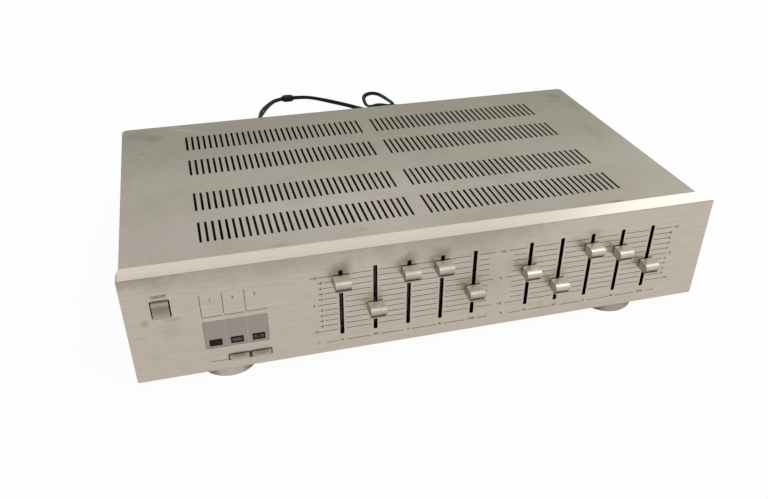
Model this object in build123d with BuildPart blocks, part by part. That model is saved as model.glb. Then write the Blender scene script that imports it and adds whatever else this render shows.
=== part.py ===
from build123d import *
import os
from math import pi, radians, tan

# Ten-band slider graphic equalizer: five sliders for each of two channels.
# Millimetres. X runs to the right, Y to the back and Z up. The origin is on the surface that the feet
# stand on, at the middle of the width, halfway between the knobs' noses and the jacks' ends.

os.makedirs("parts", exist_ok=True)

# ---- driving dimensions ----
# case
panel_w = 440.0  # front panel width
panel_h = 85.4  # front panel height
case_d = 263.4  # face of the panel to the back of the cover
foot_h = 9.0  # floor to the panel's bottom edge
# front panel, a C-shaped extrusion with a cap in each end
face_t = 3.0
lip_d = 15.5  # depth of the top and bottom lips, from the face
lip_t = 2.0
end_t = 8.0  # thickness of the end caps
end_straight = 9.0  # depth over which the panel keeps its full width
end_taper = 2.0  # loss of width at each end behind that
corner_r = 1.4  # bottom corners of the face
edge_r = 0.6  # front edge of the top lip
# cover, base and rear panel
cover_inset = 1.15  # sides of the cover inside the ends of the panel
cover_t = 1.0
cover_drop = 3.0  # top of the cover below the top of the panel
cover_lift = 1.0  # bottom of the cover above the bottom of the panel
cover_corner_r = 5.0
cover_edge_r = 1.2
cover_border = 8.0  # folded border round the rear opening
tongue_d = 4.5  # reach of the cover's tongue under the panel's top lip
pan_t = 1.2
pan_wall_h = 12.0
rear_t = 1.2
# vents in the cover
vent_rows = (56.3, 104.3, 167.0, 217.3)  # middle of each row, from the face
vent_count = 32  # slots to a row, on each side of the middle
vent_pitch = 5.03
vent_first = 7.25  # first slot from the middle
vent_w = 1.9
vent_l = 30.0
# sliders
slot_w = 3.0
slot_h = 55.2
slot_r = 0.8
slot_pitch = 25.0
left_first = -72.8  # first slot of the left channel
right_first = 71.1
slider_z = 42.6  # middle of the slots above the panel's bottom edge
travel = 45.0
left_settings = (20.2, -6.3, 20.2, 20.2, -5.05)  # resting heights from the middle
right_settings = (4.95, -10.8, 16.45, 10.45, -5.05)
bands = ("60", "250", "1k", "4k", "12k")
knob_w = 11.5
knob_h = 7.0
knob_out = 11.3  # nose from the face
knob_gap = 0.8  # back of the knob from the face
knob_socket = 6.0
lever_w = 1.4
lever_h = 4.0
slide_gap = 0.3  # running clearance of everything that slides
fit_gap = 0.1  # clearance of a push fit
# slide potentiometers, on a plate behind the face
plate_y = 7.5  # front of the mounting plate, from the face
plate_t = 1.2
pot_w = 9.0
pot_d = 8.0
pot_h = 61.0
pot_wall = 1.0
carriage_h = 7.0
# power button
power_in = 24.5  # middle of the button from the left end of the panel
power_z = 59.4
power_w = 11.2
power_h = 12.0
power_out = 3.0
power_scoop = 1.2
power_gap = 0.9
power_travel = 3.5
power_body = (17.0, 30.0, 17.0)
power_stem = 5.0
# function buttons
function_ins = (71.85, 87.65)  # middles from the left end of the panel
function_z = 10.25
function_w = 13.8
function_h = 4.5
function_out = 2.0
function_gap_x = 0.9
function_gap_z = 0.6
function_travel = 2.5
function_body = (34.0, 22.0, 9.0)
function_stem = (4.0, 2.6)
button_back = 3.8  # depth of a button's cap behind the face
stem_reach = 12.0  # depth of a button's stem inside its switch
# indicator window
window_in = 71.95  # middle from the left end of the panel
window_z = 31.95
window_w = 44.5
window_h = 23.3
window_gap = 0.2
window_set = 0.15  # depth of the window below the face
window_flange = 2.0
window_flange_t = 1.2
legend_ins = (57.0, 71.8, 87.0)
legend_z = 24.9
legend_w = 9.0
legend_h = 5.8
legend_t = 1.0
lamp_r = 1.5  # holes in the plate for the lamps behind the legends
# feet
foot_r = 21.2
foot_in = 65.0  # middle of the feet from the ends of the panel
foot_front_in = 23.0  # middle of the front feet from the face
foot_rear_in = 30.4  # middle of the rear feet from the back
foot_edge_r = 1.0
foot_recess_r = 7.0
foot_recess_h = 5.0
# screws
screw_r = 1.5
screw_head_r = 3.4
screw_head_h = 1.1
screw_l = 6.0
side_screw_front = 60.0  # from the face
side_screw_rear = 48.4  # from the back
side_screw_z = 7.5
rear_screw_in = 30.0  # outer screws from the ends of the panel
rear_screw_z = 78.0
foot_screw_r = 2.0
foot_screw_head_r = 4.0
foot_screw_head_h = 2.5
foot_screw_above = 3.0  # tip above the base pan's floor
# boards and parts on them
board_t = 1.6
main_board = (255.0, 190.0)
main_board_x = 67.5
main_board_back = 28.4  # rear edge from the back
post_h = 8.0
post_r = 3.0
post_pin_r = 1.4
post_inset = 8.0
slider_board_edge = 12.0  # board beyond the middle of the outermost sliders
chip = (19.0, 6.4, 3.6)
chip_xs = (-30.0, 10.0, 50.0, 90.0, 130.0)
chip_ys = (35.0, 75.0)  # from the front edge of the main board
can_xs = (-35.0, -10.0, 40.0, 65.0, 90.0, 115.0)
can_y = 150.0
can_sizes = ((9.0, 30.0), (9.0, 30.0), (5.0, 13.0), (5.0, 13.0), (5.0, 13.0), (5.0, 13.0))
# transformer
core_in = 55.0  # middle from the left end of the panel
core_back = 78.4  # middle from the back
core = (57.0, 30.0, 47.5)
core_band = 9.5  # iron round the windows; the middle leg is twice as wide
coil_over = 9.0  # coil in front of and behind the core
# rear panel fittings
inlet_in = 70.0  # middle from the left end of the panel
inlet_z = 36.0
inlet_flange = (34.0, 20.0, 2.0)
inlet_body = (26.0, 15.0, 18.0)
inlet_socket = (15.6, 8.6, 12.0)
inlet_pin_r = 1.2
inlet_pin_pitch = 8.6
inlet_pin_l = 9.0
jack_xs = (112.0, 133.0, 154.0)
jack_zs = (29.0, 47.0)
jack_r = 4.15
jack_bore_r = 1.7
jack_out = 9.0  # ends of the jacks behind the cover
jack_border = 3.0  # rear panel's window beyond the outer jacks
jack_lap = 4.0  # jack block beyond that window
jack_block_d = 11.0
gland_x = 60.0
gland_z = 24.0
gland_r = 6.0
gland_neck_r = 4.4
gland_flange_t = 2.5
gland_nut_t = 3.0
gland_boot_l = 11.0
gland_boot_r = 4.4
# signal lead, its splitter and plugs
lead_d = 3.6
tail_d = 2.2
tail_pitch = 4.2
sleeve = (15.3, 9.6, 5.6)
sleeve_x = -18.9  # right end of the splitter sleeve
sleeve_y = 413.0
sleeve_r = 0.8
plug_r = 4.6
plug_neck_r = 2.2
plug_l = 27.0
plug_neck_l = 11.0
plug_shell_r = 4.2
plug_shell_l = 8.0
plug_pin_r = 1.6
plug_pin_l = 14.0

# ---- places worked out from them ----
panel_z = foot_h
face_y = knob_out - (knob_out + case_d + jack_out) / 2
lip_back = face_y + lip_d
left_end = -panel_w / 2
cover_w = panel_w - 2 * cover_inset
plate_front = face_y + plate_y
plate_back = plate_front + plate_t
cover_back = face_y + case_d
cover_top = panel_z + panel_h - cover_drop
cover_bottom = panel_z + cover_lift
rear_back = cover_back - cover_t
rear_front = rear_back - rear_t
inside_w = cover_w - 2 * cover_t
pan_top = panel_z + pan_t
slider_mid = panel_z + slider_z
power_x = left_end + power_in
function_xs = [left_end + x for x in function_ins]
window_x = left_end + window_in
legend_xs = [left_end + x for x in legend_ins]
side_screw_ys = (face_y + side_screw_front, cover_back - side_screw_rear)
rear_screw_xs = (left_end + rear_screw_in, 0, panel_w / 2 - rear_screw_in)
main_board_y = cover_back - main_board_back - main_board[1] / 2
board_front = main_board_y - main_board[1] / 2
core_x = left_end + core_in
core_y = cover_back - core_back
inlet_x = left_end + inlet_in
jack_places = [(x, panel_z + z) for x in jack_xs for z in jack_zs]
jacks_mid = ((jack_xs[0] + jack_xs[-1]) / 2, panel_z + (jack_zs[0] + jack_zs[-1]) / 2)
left_xs = [left_first + i * slot_pitch for i in range(len(bands))]
right_xs = [right_first + i * slot_pitch for i in range(len(bands))]
channels = (("l", left_xs, left_settings), ("r", right_xs, right_settings))
board_bottom = pan_top + post_h
board_top = board_bottom + board_t
pot_back = plate_back + pot_d


def facing(y):
    """A plane at that depth, seen from the front: sketch x is X, sketch y is Z, out is -Y."""
    return Plane(origin=(0, y, 0), x_dir=(1, 0, 0), z_dir=(0, -1, 0))


def keep(built, name):
    """Label a finished piece and write its file."""
    built.part.label = name
    export_step(built.part, f"parts/{name}.step")


# ---- front panel ----
with BuildPart() as front_panel:
    with BuildSketch(facing(lip_back)) as outline:
        with Locations((0, panel_z + panel_h / 2)):
            Rectangle(panel_w, panel_h)
        fillet(outline.vertices().group_by(Axis.Z)[0], corner_r)
    extrude(amount=lip_d)
    with BuildSketch(Plane.XY.offset(panel_z)):
        with BuildLine():
            Polyline(
                (-panel_w / 2, face_y),
                (panel_w / 2, face_y),
                (panel_w / 2, face_y + end_straight),
                (panel_w / 2 - end_taper, lip_back),
                (end_taper - panel_w / 2, lip_back),
                (-panel_w / 2, face_y + end_straight),
                close=True,
            )
        make_face()
    extrude(amount=panel_h, mode=Mode.INTERSECT)
    front_edges = front_panel.edges().filter_by(Axis.X).group_by(Axis.Y)[0]
    fillet(front_edges.sort_by(Axis.Z)[-1], edge_r)
    # the hollow of the C
    with BuildSketch(facing(lip_back)):
        with Locations((0, panel_z + panel_h / 2)):
            Rectangle(panel_w, panel_h - 2 * lip_t)
    extrude(amount=lip_d - face_t, mode=Mode.SUBTRACT)
    # slider slots
    with BuildSketch(facing(face_y + face_t)):
        with Locations(*[(x, slider_mid) for x in left_xs + right_xs]):
            RectangleRounded(slot_w, slot_h, slot_r)
    extrude(amount=face_t, mode=Mode.SUBTRACT)
    # power button, function buttons and indicator window
    with BuildSketch(facing(face_y + face_t)):
        with Locations((power_x, panel_z + power_z)):
            Rectangle(power_w + 2 * power_gap, power_h + 2 * power_gap)
        with Locations((sum(function_xs) / 2, panel_z + function_z)):
            RectangleRounded(
                function_xs[1] - function_xs[0] + function_w + 2 * function_gap_x,
                function_h + 2 * function_gap_z,
                slot_r,
            )
        with Locations((window_x, panel_z + window_z)):
            Rectangle(window_w, window_h)
    extrude(amount=face_t, mode=Mode.SUBTRACT)
keep(front_panel, "front_panel")

# caps that close the ends of the extrusion between its lips
for side, name in ((-1, "panel_end_left"), (1, "panel_end_right")):
    with BuildPart() as panel_end:
        with BuildSketch(Plane.XY.offset(panel_z + lip_t)):
            with BuildLine():
                Polyline(
                    (side * (panel_w / 2 - end_t), face_y + face_t),
                    (side * panel_w / 2, face_y + face_t),
                    (side * panel_w / 2, face_y + end_straight),
                    (side * (panel_w / 2 - end_taper), lip_back),
                    (side * (panel_w / 2 - end_t), lip_back),
                    close=True,
                )
            make_face()
        extrude(amount=panel_h - 2 * lip_t)
    keep(panel_end, name)

# ---- mounting plate for sliders and switches ----
with BuildPart() as mounting_plate:
    with BuildSketch(facing(plate_front)):
        with Locations((0, panel_z + panel_h / 2)):
            Rectangle(panel_w - 2 * end_t, panel_h - 2 * lip_t)
        with Locations(*[(x, slider_mid) for x in left_xs + right_xs]):
            RectangleRounded(slot_w + 1, slot_h, slot_r, mode=Mode.SUBTRACT)
        with Locations((power_x, panel_z + power_z)):
            Rectangle(power_w + 2 * power_gap, power_h + 2 * power_gap, mode=Mode.SUBTRACT)
        with Locations(*[(x, panel_z + function_z) for x in function_xs]):
            Rectangle(
                function_w + 2 * slide_gap, function_h + 2 * function_gap_z, mode=Mode.SUBTRACT
            )
        with Locations(*[(x, panel_z + legend_z) for x in legend_xs]):
            Circle(lamp_r, mode=Mode.SUBTRACT)
    extrude(amount=-plate_t)
keep(mounting_plate, "mounting_plate")

# ---- top cover ----
with BuildPart() as top_cover:
    with BuildSketch(Plane.XY.offset(cover_bottom)) as plan:
        with Locations((0, (lip_back + cover_back) / 2)):
            Rectangle(cover_w, cover_back - lip_back)
        fillet(plan.vertices().group_by(Axis.Y)[-1], cover_corner_r)
    extrude(amount=cover_top - cover_bottom)
    rim = top_cover.faces().sort_by(Axis.Z)[-1].edges().sort_by(Axis.Y)[1:]
    fillet(rim, cover_edge_r)
    with BuildSketch(Plane.XY.offset(cover_bottom)) as inside:
        with Locations((0, (lip_back + cover_back - cover_t) / 2)):
            Rectangle(inside_w, cover_back - cover_t - lip_back)
        fillet(inside.vertices().group_by(Axis.Y)[-1], cover_corner_r - cover_t)
    extrude(amount=cover_top - cover_t - cover_bottom, mode=Mode.SUBTRACT)
    # rear opening, with a border round it
    with BuildSketch(facing(cover_back)):
        with Locations((0, cover_bottom)):
            Rectangle(
                inside_w - 2 * cover_corner_r - 2 * cover_border,
                cover_top - cover_t - cover_border - cover_bottom,
                align=(Align.CENTER, Align.MIN),
            )
    extrude(amount=cover_t, mode=Mode.SUBTRACT)
    # tongue under the panel's top lip
    with BuildSketch(Plane.XY.offset(cover_top)):
        with Locations((0, lip_back - tongue_d)):
            Rectangle(
                panel_w - 2 * end_t - 2 * slide_gap, tongue_d, align=(Align.CENTER, Align.MIN)
            )
    extrude(amount=-cover_t)
    # vents
    with BuildSketch(Plane.XY.offset(cover_top)):
        for side in (-1, 1):
            for i in range(vent_count):
                x = side * (vent_first + i * vent_pitch)
                with Locations(*[(x, face_y + y) for y in vent_rows]):
                    SlotOverall(vent_l, vent_w, rotation=90)
    extrude(amount=-cover_t, mode=Mode.SUBTRACT)
    # side screws
    with BuildSketch(Plane.YZ.offset(-cover_w / 2)):
        with Locations(*[(y, panel_z + side_screw_z) for y in side_screw_ys]):
            Circle(screw_r + fit_gap)
    extrude(amount=cover_w, mode=Mode.SUBTRACT)
    # rear screws
    with BuildSketch(facing(cover_back)):
        with Locations(*[(x, panel_z + rear_screw_z) for x in rear_screw_xs]):
            Circle(screw_r + fit_gap)
    extrude(amount=cover_t, mode=Mode.SUBTRACT)
keep(top_cover, "top_cover")

# ---- base pan ----
foot_places = [
    (f"foot_{row}_{hand}", side * (panel_w / 2 - foot_in), y)
    for row, y in (("front", face_y + foot_front_in), ("rear", cover_back - foot_rear_in))
    for hand, side in (("left", -1), ("right", 1))
]
post_x = main_board[0] / 2 - post_inset
post_y = main_board[1] / 2 - post_inset
post_places = [
    (main_board_x + i * post_x, main_board_y + j * post_y)
    for i in (-1, 0, 1)
    for j in (-1, 1)
]
with BuildPart() as base_pan:
    with BuildSketch(Plane.XY.offset(panel_z)) as plan:
        with Locations((0, (lip_back + rear_front) / 2)):
            Rectangle(inside_w, rear_front - lip_back)
        chamfer(plan.vertices().group_by(Axis.Y)[-1], cover_corner_r)
    extrude(amount=pan_wall_h)
    with BuildSketch(Plane.XY.offset(pan_top)) as plan:
        with Locations((0, (lip_back + rear_front - pan_t) / 2)):
            Rectangle(inside_w - 2 * pan_t, rear_front - pan_t - lip_back)
        chamfer(plan.vertices().group_by(Axis.Y)[-1], cover_corner_r)
    extrude(amount=pan_wall_h, mode=Mode.SUBTRACT)
    # posts for the main board, with locating pins
    with BuildSketch(Plane.XY.offset(pan_top)):
        with Locations(*post_places):
            Circle(post_r)
    extrude(amount=post_h)
    with BuildSketch(Plane.XY.offset(board_bottom)):
        with Locations(*post_places):
            Circle(post_pin_r)
    extrude(amount=board_t + 1)
    # foot screws
    with BuildSketch(Plane.XY.offset(panel_z)):
        with Locations(*[(x, y) for _, x, y in foot_places]):
            Circle(foot_screw_r + fit_gap)
    extrude(amount=pan_t, mode=Mode.SUBTRACT)
    # side screws
    with BuildSketch(Plane.YZ.offset(-inside_w / 2)):
        with Locations(*[(y, panel_z + side_screw_z) for y in side_screw_ys]):
            Circle(screw_r + fit_gap)
    extrude(amount=inside_w, mode=Mode.SUBTRACT)
keep(base_pan, "base_pan")

# ---- rear panel ----
with BuildPart() as rear_panel:
    with BuildSketch(facing(rear_back)):
        with Locations((0, panel_z)):
            Rectangle(
                inside_w - 2 * cover_corner_r,
                cover_top - cover_t - panel_z,
                align=(Align.CENTER, Align.MIN),
            )
        with Locations((inlet_x, panel_z + inlet_z)):
            Rectangle(inlet_body[0] + fit_gap, inlet_body[1] + fit_gap, mode=Mode.SUBTRACT)
        # the window that the jack block fills from behind
        with Locations(jacks_mid):
            Rectangle(
                jack_xs[-1] - jack_xs[0] + 2 * (jack_r + jack_border),
                jack_zs[-1] - jack_zs[0] + 2 * (jack_r + jack_border),
                mode=Mode.SUBTRACT,
            )
        with Locations((gland_x, panel_z + gland_z)):
            Circle(gland_neck_r + fit_gap, mode=Mode.SUBTRACT)
        with Locations(*[(x, panel_z + rear_screw_z) for x in rear_screw_xs]):
            Circle(screw_r + fit_gap, mode=Mode.SUBTRACT)
    extrude(amount=rear_t)
keep(rear_panel, "rear_panel")

# ---- feet and screws ----
for name, x, y in foot_places:
    with BuildPart() as foot:
        with BuildSketch(Plane.XY):
            with Locations((x, y)):
                Circle(foot_r)
        extrude(amount=foot_h)
        fillet(foot.edges().filter_by(GeomType.CIRCLE).sort_by(Axis.Z)[0], foot_edge_r)
        with BuildSketch(Plane.XY):
            with Locations((x, y)):
                Circle(foot_recess_r)
        extrude(amount=foot_recess_h, mode=Mode.SUBTRACT)
        with BuildSketch(Plane.XY):
            with Locations((x, y)):
                Circle(foot_screw_r + fit_gap)
        extrude(amount=foot_h, mode=Mode.SUBTRACT)
    keep(foot, name)

with BuildPart() as foot_screws:
    with BuildSketch(Plane.XY.offset(foot_recess_h)):
        with Locations(*[(x, y) for _, x, y in foot_places]):
            Circle(foot_screw_head_r)
    extrude(amount=-foot_screw_head_h)
    with BuildSketch(Plane.XY.offset(foot_recess_h)):
        with Locations(*[(x, y) for _, x, y in foot_places]):
            Circle(foot_screw_r)
    extrude(amount=pan_top + foot_screw_above - foot_recess_h)
keep(foot_screws, "foot_screws")

with BuildPart() as cover_screws:
    for side in (-1, 1):
        outside = Plane(
            origin=(side * cover_w / 2, 0, 0), x_dir=(0, 1, 0), z_dir=(side, 0, 0)
        )
        with BuildSketch(outside):
            with Locations(*[(y, side * (panel_z + side_screw_z)) for y in side_screw_ys]):
                Circle(screw_head_r)
        extrude(amount=screw_head_h)
        with BuildSketch(outside):
            with Locations(*[(y, side * (panel_z + side_screw_z)) for y in side_screw_ys]):
                Circle(screw_r)
        extrude(amount=-screw_l)
keep(cover_screws, "cover_screws")

with BuildPart() as rear_screws:
    with BuildSketch(facing(cover_back)):
        with Locations(*[(x, panel_z + rear_screw_z) for x in rear_screw_xs]):
            Circle(screw_head_r)
    extrude(amount=-screw_head_h)
    with BuildSketch(facing(cover_back)):
        with Locations(*[(x, panel_z + rear_screw_z) for x in rear_screw_xs]):
            Circle(screw_r)
    extrude(amount=screw_l)
keep(rear_screws, "rear_screws")

# ---- slide potentiometers and their board ----
for name, xs in (("slide_pots_left", left_xs), ("slide_pots_right", right_xs)):
    with BuildPart() as slide_pots:
        with BuildSketch(facing(plate_back)):
            with Locations(*[(x, slider_mid) for x in xs]):
                Rectangle(pot_w, pot_h)
        extrude(amount=-pot_d)
        # the carriage's track
        with BuildSketch(facing(plate_back + pot_wall)):
            with Locations(*[(x, slider_mid) for x in xs]):
                Rectangle(pot_w - 2 * pot_wall, travel + carriage_h + 2 * slide_gap)
        extrude(amount=2 * pot_wall - pot_d, mode=Mode.SUBTRACT)
        # the slit that the lever runs in
        with BuildSketch(facing(plate_back)):
            with Locations(*[(x, slider_mid) for x in xs]):
                Rectangle(lever_w + 2 * slide_gap, travel + lever_h + 2 * slide_gap)
        extrude(amount=-pot_wall, mode=Mode.SUBTRACT)
    keep(slide_pots, name)

with BuildPart() as slider_board:
    with BuildSketch(facing(pot_back)):
        with Locations((left_xs[0] - slider_board_edge, slider_mid)):
            Rectangle(
                right_xs[-1] - left_xs[0] + 2 * slider_board_edge,
                pot_h,
                align=(Align.MIN, Align.CENTER),
            )
    extrude(amount=-board_t)
keep(slider_board, "slider_board")

# ---- levers and knobs, ten of each ----
knob_back = face_y - knob_gap
knob_nose = face_y - knob_out
nose_start = knob_nose + knob_h / 2
lever_tip = knob_back - knob_socket
track_front = plate_back + pot_wall
track_back = pot_back - pot_wall
for channel, xs, settings in channels:
    for band, x, setting in zip(bands, xs, settings):
        z = slider_mid + setting
        with BuildPart() as lever:
            with BuildSketch(facing(track_back - slide_gap)):
                with Locations((x, z)):
                    Rectangle(pot_w - 2 * pot_wall - 2 * slide_gap, carriage_h)
            extrude(amount=track_back - track_front - 2 * slide_gap)
            with BuildSketch(facing(track_front + slide_gap)):
                with Locations((x, z)):
                    Rectangle(lever_w, lever_h)
            extrude(amount=track_front + slide_gap - lever_tip)
        keep(lever, f"lever_{channel}{band}")
        top, bottom = z + knob_h / 2, z - knob_h / 2
        with BuildPart() as knob:
            with BuildSketch(Plane.YZ.offset(x)):
                with BuildLine():
                    Line((knob_back, bottom), (knob_back, top))
                    Line((knob_back, top), (nose_start, top))
                    ThreePointArc((nose_start, top), (knob_nose, z), (nose_start, bottom))
                    Line((nose_start, bottom), (knob_back, bottom))
                make_face()
            extrude(amount=knob_w / 2, both=True)
            with BuildSketch(facing(knob_back)):
                with Locations((x, z)):
                    Rectangle(lever_w + 2 * fit_gap, lever_h + 2 * fit_gap)
            extrude(amount=knob_socket, mode=Mode.SUBTRACT)
        keep(knob, f"knob_{channel}{band}")

# ---- power button and switch ----
power_mid = panel_z + power_z
with BuildPart() as power_button:
    front = face_y - power_out
    with BuildSketch(Plane.YZ.offset(power_x)):
        with BuildLine():
            ThreePointArc(
                (front, power_mid + power_h / 2),
                (front + power_scoop, power_mid),
                (front, power_mid - power_h / 2),
            )
            Polyline(
                (front, power_mid - power_h / 2),
                (face_y + button_back, power_mid - power_h / 2),
                (face_y + button_back, power_mid + power_h / 2),
                (front, power_mid + power_h / 2),
            )
        make_face()
    extrude(amount=power_w / 2, both=True)
    with BuildSketch(facing(face_y + button_back)):
        with Locations((power_x, power_mid)):
            Rectangle(power_stem, power_stem)
    extrude(amount=face_y + button_back - plate_back - stem_reach)
keep(power_button, "power_button")

with BuildPart() as power_switch:
    with BuildSketch(facing(plate_back)):
        with Locations((power_x, power_mid)):
            Rectangle(power_body[0], power_body[2])
    extrude(amount=-power_body[1])
    with BuildSketch(facing(plate_back)):
        with Locations((power_x, power_mid)):
            Rectangle(power_stem + 2 * slide_gap, power_stem + 2 * slide_gap)
    extrude(amount=-(stem_reach + power_travel + slide_gap), mode=Mode.SUBTRACT)
keep(power_switch, "power_switch")

# ---- function buttons and switches ----
function_mid = panel_z + function_z
for name, x in zip(("function_button_left", "function_button_right"), function_xs):
    with BuildPart() as function_button:
        with BuildSketch(facing(face_y + button_back)):
            with Locations((x, function_mid)):
                Rectangle(function_w, function_h)
        extrude(amount=button_back + function_out)
        fillet(function_button.faces().sort_by(Axis.Y)[0].edges(), edge_r)
        with BuildSketch(facing(face_y + button_back)):
            with Locations((x, function_mid)):
                Rectangle(*function_stem)
        extrude(amount=face_y + button_back - plate_back - stem_reach)
    keep(function_button, name)

with BuildPart() as function_switches:
    with BuildSketch(facing(plate_back)):
        with Locations((sum(function_xs) / 2, function_mid)):
            Rectangle(function_body[0], function_body[2])
    extrude(amount=-function_body[1])
    with BuildSketch(facing(plate_back)):
        with Locations(*[(x, function_mid) for x in function_xs]):
            Rectangle(function_stem[0] + 2 * slide_gap, function_stem[1] + 2 * slide_gap)
    extrude(amount=-(stem_reach + function_travel + slide_gap), mode=Mode.SUBTRACT)
keep(function_switches, "function_switches")

# ---- indicator window and its legends ----
window_front = face_y + window_set
legend_places = [(x, panel_z + legend_z) for x in legend_xs]
with BuildPart() as indicator_window:
    with BuildSketch(facing(window_front)):
        with Locations((window_x, panel_z + window_z)):
            Rectangle(window_w - 2 * window_gap, window_h - 2 * window_gap)
    extrude(amount=window_set - face_t)
    with BuildSketch(facing(face_y + face_t)):
        with Locations((window_x, panel_z + window_z)):
            Rectangle(window_w + 2 * window_flange, window_h + 2 * window_flange)
    extrude(amount=-window_flange_t)
    with BuildSketch(facing(window_front)):
        with Locations(*legend_places):
            Rectangle(legend_w, legend_h)
    extrude(amount=-legend_t, mode=Mode.SUBTRACT)
keep(indicator_window, "indicator_window")

with BuildPart() as legend_plates:
    with BuildSketch(facing(window_front)):
        with Locations(*legend_places):
            Rectangle(legend_w, legend_h)
    extrude(amount=-legend_t)
keep(legend_plates, "legend_plates")

# ---- main board and what is soldered to it ----
with BuildPart() as board:
    with BuildSketch(Plane.XY.offset(board_bottom)):
        with Locations((main_board_x, main_board_y)):
            Rectangle(*main_board)
        with Locations(*post_places):
            Circle(post_pin_r + fit_gap, mode=Mode.SUBTRACT)
    extrude(amount=board_t)
keep(board, "main_board")

with BuildPart() as chips:
    with BuildSketch(Plane.XY.offset(board_top)):
        with Locations(*[(x, board_front + y) for x in chip_xs for y in chip_ys]):
            Rectangle(chip[0], chip[1])
    extrude(amount=chip[2])
keep(chips, "chips")

with BuildPart() as capacitors:
    for x, (radius, height) in zip(can_xs, can_sizes):
        with BuildSketch(Plane.XY.offset(board_top)):
            with Locations((x, board_front + can_y)):
                Circle(radius)
        extrude(amount=height)
keep(capacitors, "capacitors")

# ---- transformer ----
core_w, core_stack, core_h = core
window_wide = (core_w - 4 * core_band) / 2
window_high = core_h - 2 * core_band
core_window_x = core_band + window_wide / 2
core_mid = pan_top + core_h / 2
with BuildPart() as transformer_core:
    with BuildSketch(facing(core_y + core_stack / 2)):
        with Locations((core_x, core_mid)):
            Rectangle(core_w, core_h)
        with Locations((core_x - core_window_x, core_mid), (core_x + core_window_x, core_mid)):
            Rectangle(window_wide, window_high, mode=Mode.SUBTRACT)
    extrude(amount=core_stack)
keep(transformer_core, "transformer_core")

with BuildPart() as transformer_coil:
    with BuildSketch(Plane.XY.offset(pan_top + core_band + slide_gap)):
        with Locations((core_x, core_y)):
            Rectangle(
                2 * (core_band + window_wide - slide_gap), core_stack + 2 * coil_over
            )
            Rectangle(
                2 * (core_band + fit_gap), core_stack + 2 * fit_gap, mode=Mode.SUBTRACT
            )
    extrude(amount=window_high - 2 * slide_gap)
keep(transformer_coil, "transformer_coil")

# ---- mains inlet ----
inlet_mid = panel_z + inlet_z
with BuildPart() as mains_inlet:
    with BuildSketch(facing(rear_back)):
        with Locations((inlet_x, inlet_mid)):
            Rectangle(inlet_body[0], inlet_body[1])
    extrude(amount=inlet_body[2])
    with BuildSketch(facing(rear_back)):
        with Locations((inlet_x, inlet_mid)):
            RectangleRounded(inlet_flange[0], inlet_flange[1], slot_r)
    extrude(amount=-inlet_flange[2])
    inlet_face = rear_back + inlet_flange[2]
    with BuildSketch(facing(inlet_face)):
        with Locations((inlet_x, inlet_mid)):
            SlotOverall(inlet_socket[0], inlet_socket[1])
    extrude(amount=inlet_socket[2], mode=Mode.SUBTRACT)
    with BuildSketch(facing(inlet_face - inlet_socket[2])):
        with Locations(
            (inlet_x - inlet_pin_pitch / 2, inlet_mid), (inlet_x + inlet_pin_pitch / 2, inlet_mid)
        ):
            Circle(inlet_pin_r)
    extrude(amount=-inlet_pin_l)
keep(mains_inlet, "mains_inlet")

# ---- phono jacks ----
with BuildPart() as jacks_block:
    with BuildSketch(facing(rear_front)):
        with Locations(jacks_mid):
            Rectangle(
                jack_xs[-1] - jack_xs[0] + 2 * (jack_r + jack_border + jack_lap),
                jack_zs[-1] - jack_zs[0] + 2 * (jack_r + jack_border + jack_lap),
            )
    extrude(amount=jack_block_d)
keep(jacks_block, "jack_block")

with BuildPart() as jack_shells:
    with BuildSketch(facing(rear_front)):
        with Locations(*jack_places):
            Circle(jack_r)
            Circle(jack_bore_r, mode=Mode.SUBTRACT)
    extrude(amount=rear_front - cover_back - jack_out)
keep(jack_shells, "jack_shells")

# ---- gland of the signal lead ----
gland_end = rear_back + gland_flange_t + gland_boot_l
with BuildPart() as lead_gland:
    with BuildSketch(Plane.XY.offset(panel_z + gland_z)):
        with BuildLine():
            Polyline(
                (gland_x, rear_front - gland_nut_t),
                (gland_x + gland_r, rear_front - gland_nut_t),
                (gland_x + gland_r, rear_front),
                (gland_x + gland_neck_r, rear_front),
                (gland_x + gland_neck_r, rear_back),
                (gland_x + gland_r, rear_back),
                (gland_x + gland_r, rear_back + gland_flange_t),
                (gland_x + gland_boot_r, rear_back + gland_flange_t),
                (gland_x + lead_d / 2 + 2 * fit_gap, gland_end),
                (gland_x, gland_end),
                close=True,
            )
        make_face()
    revolve(axis=Axis((gland_x, 0, panel_z + gland_z), (0, 1, 0)))
keep(lead_gland, "lead_gland")


# ---- signal lead ----
def bend_radii(points):
    """One radius to a corner: 0.45 of its shorter run over the tangent of half its turn."""
    radii = []
    for before, at, after in zip(points, points[1:], points[2:]):
        run_in, run_out = Vector(*at) - Vector(*before), Vector(*after) - Vector(*at)
        turn = run_in.get_angle(run_out)
        radii.append(0.45 * min(run_in.length, run_out.length) / tan(radians(turn / 2)))
    return radii


def lay_tube(points, diameter, name):
    """A tube along straight runs and tangent arcs, printed with its length and radii."""
    radii = bend_radii(points)
    with BuildPart() as tube:
        with BuildLine() as route:
            FilletPolyline(*points, radius=radii)
        path = route.wire()
        with BuildSketch(Plane(origin=path @ 0, z_dir=path % 0)):
            Circle(diameter / 2)
        sweep(path=path)
    share = tube.part.volume / (path.length * pi * diameter**2 / 4)
    print(f"{name}: {path.length:.1f} long, volume share {share:.4f}")
    print("  radii", " ".join(f"{radius:.1f}" for radius in radii))
    keep(tube, name)


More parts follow.
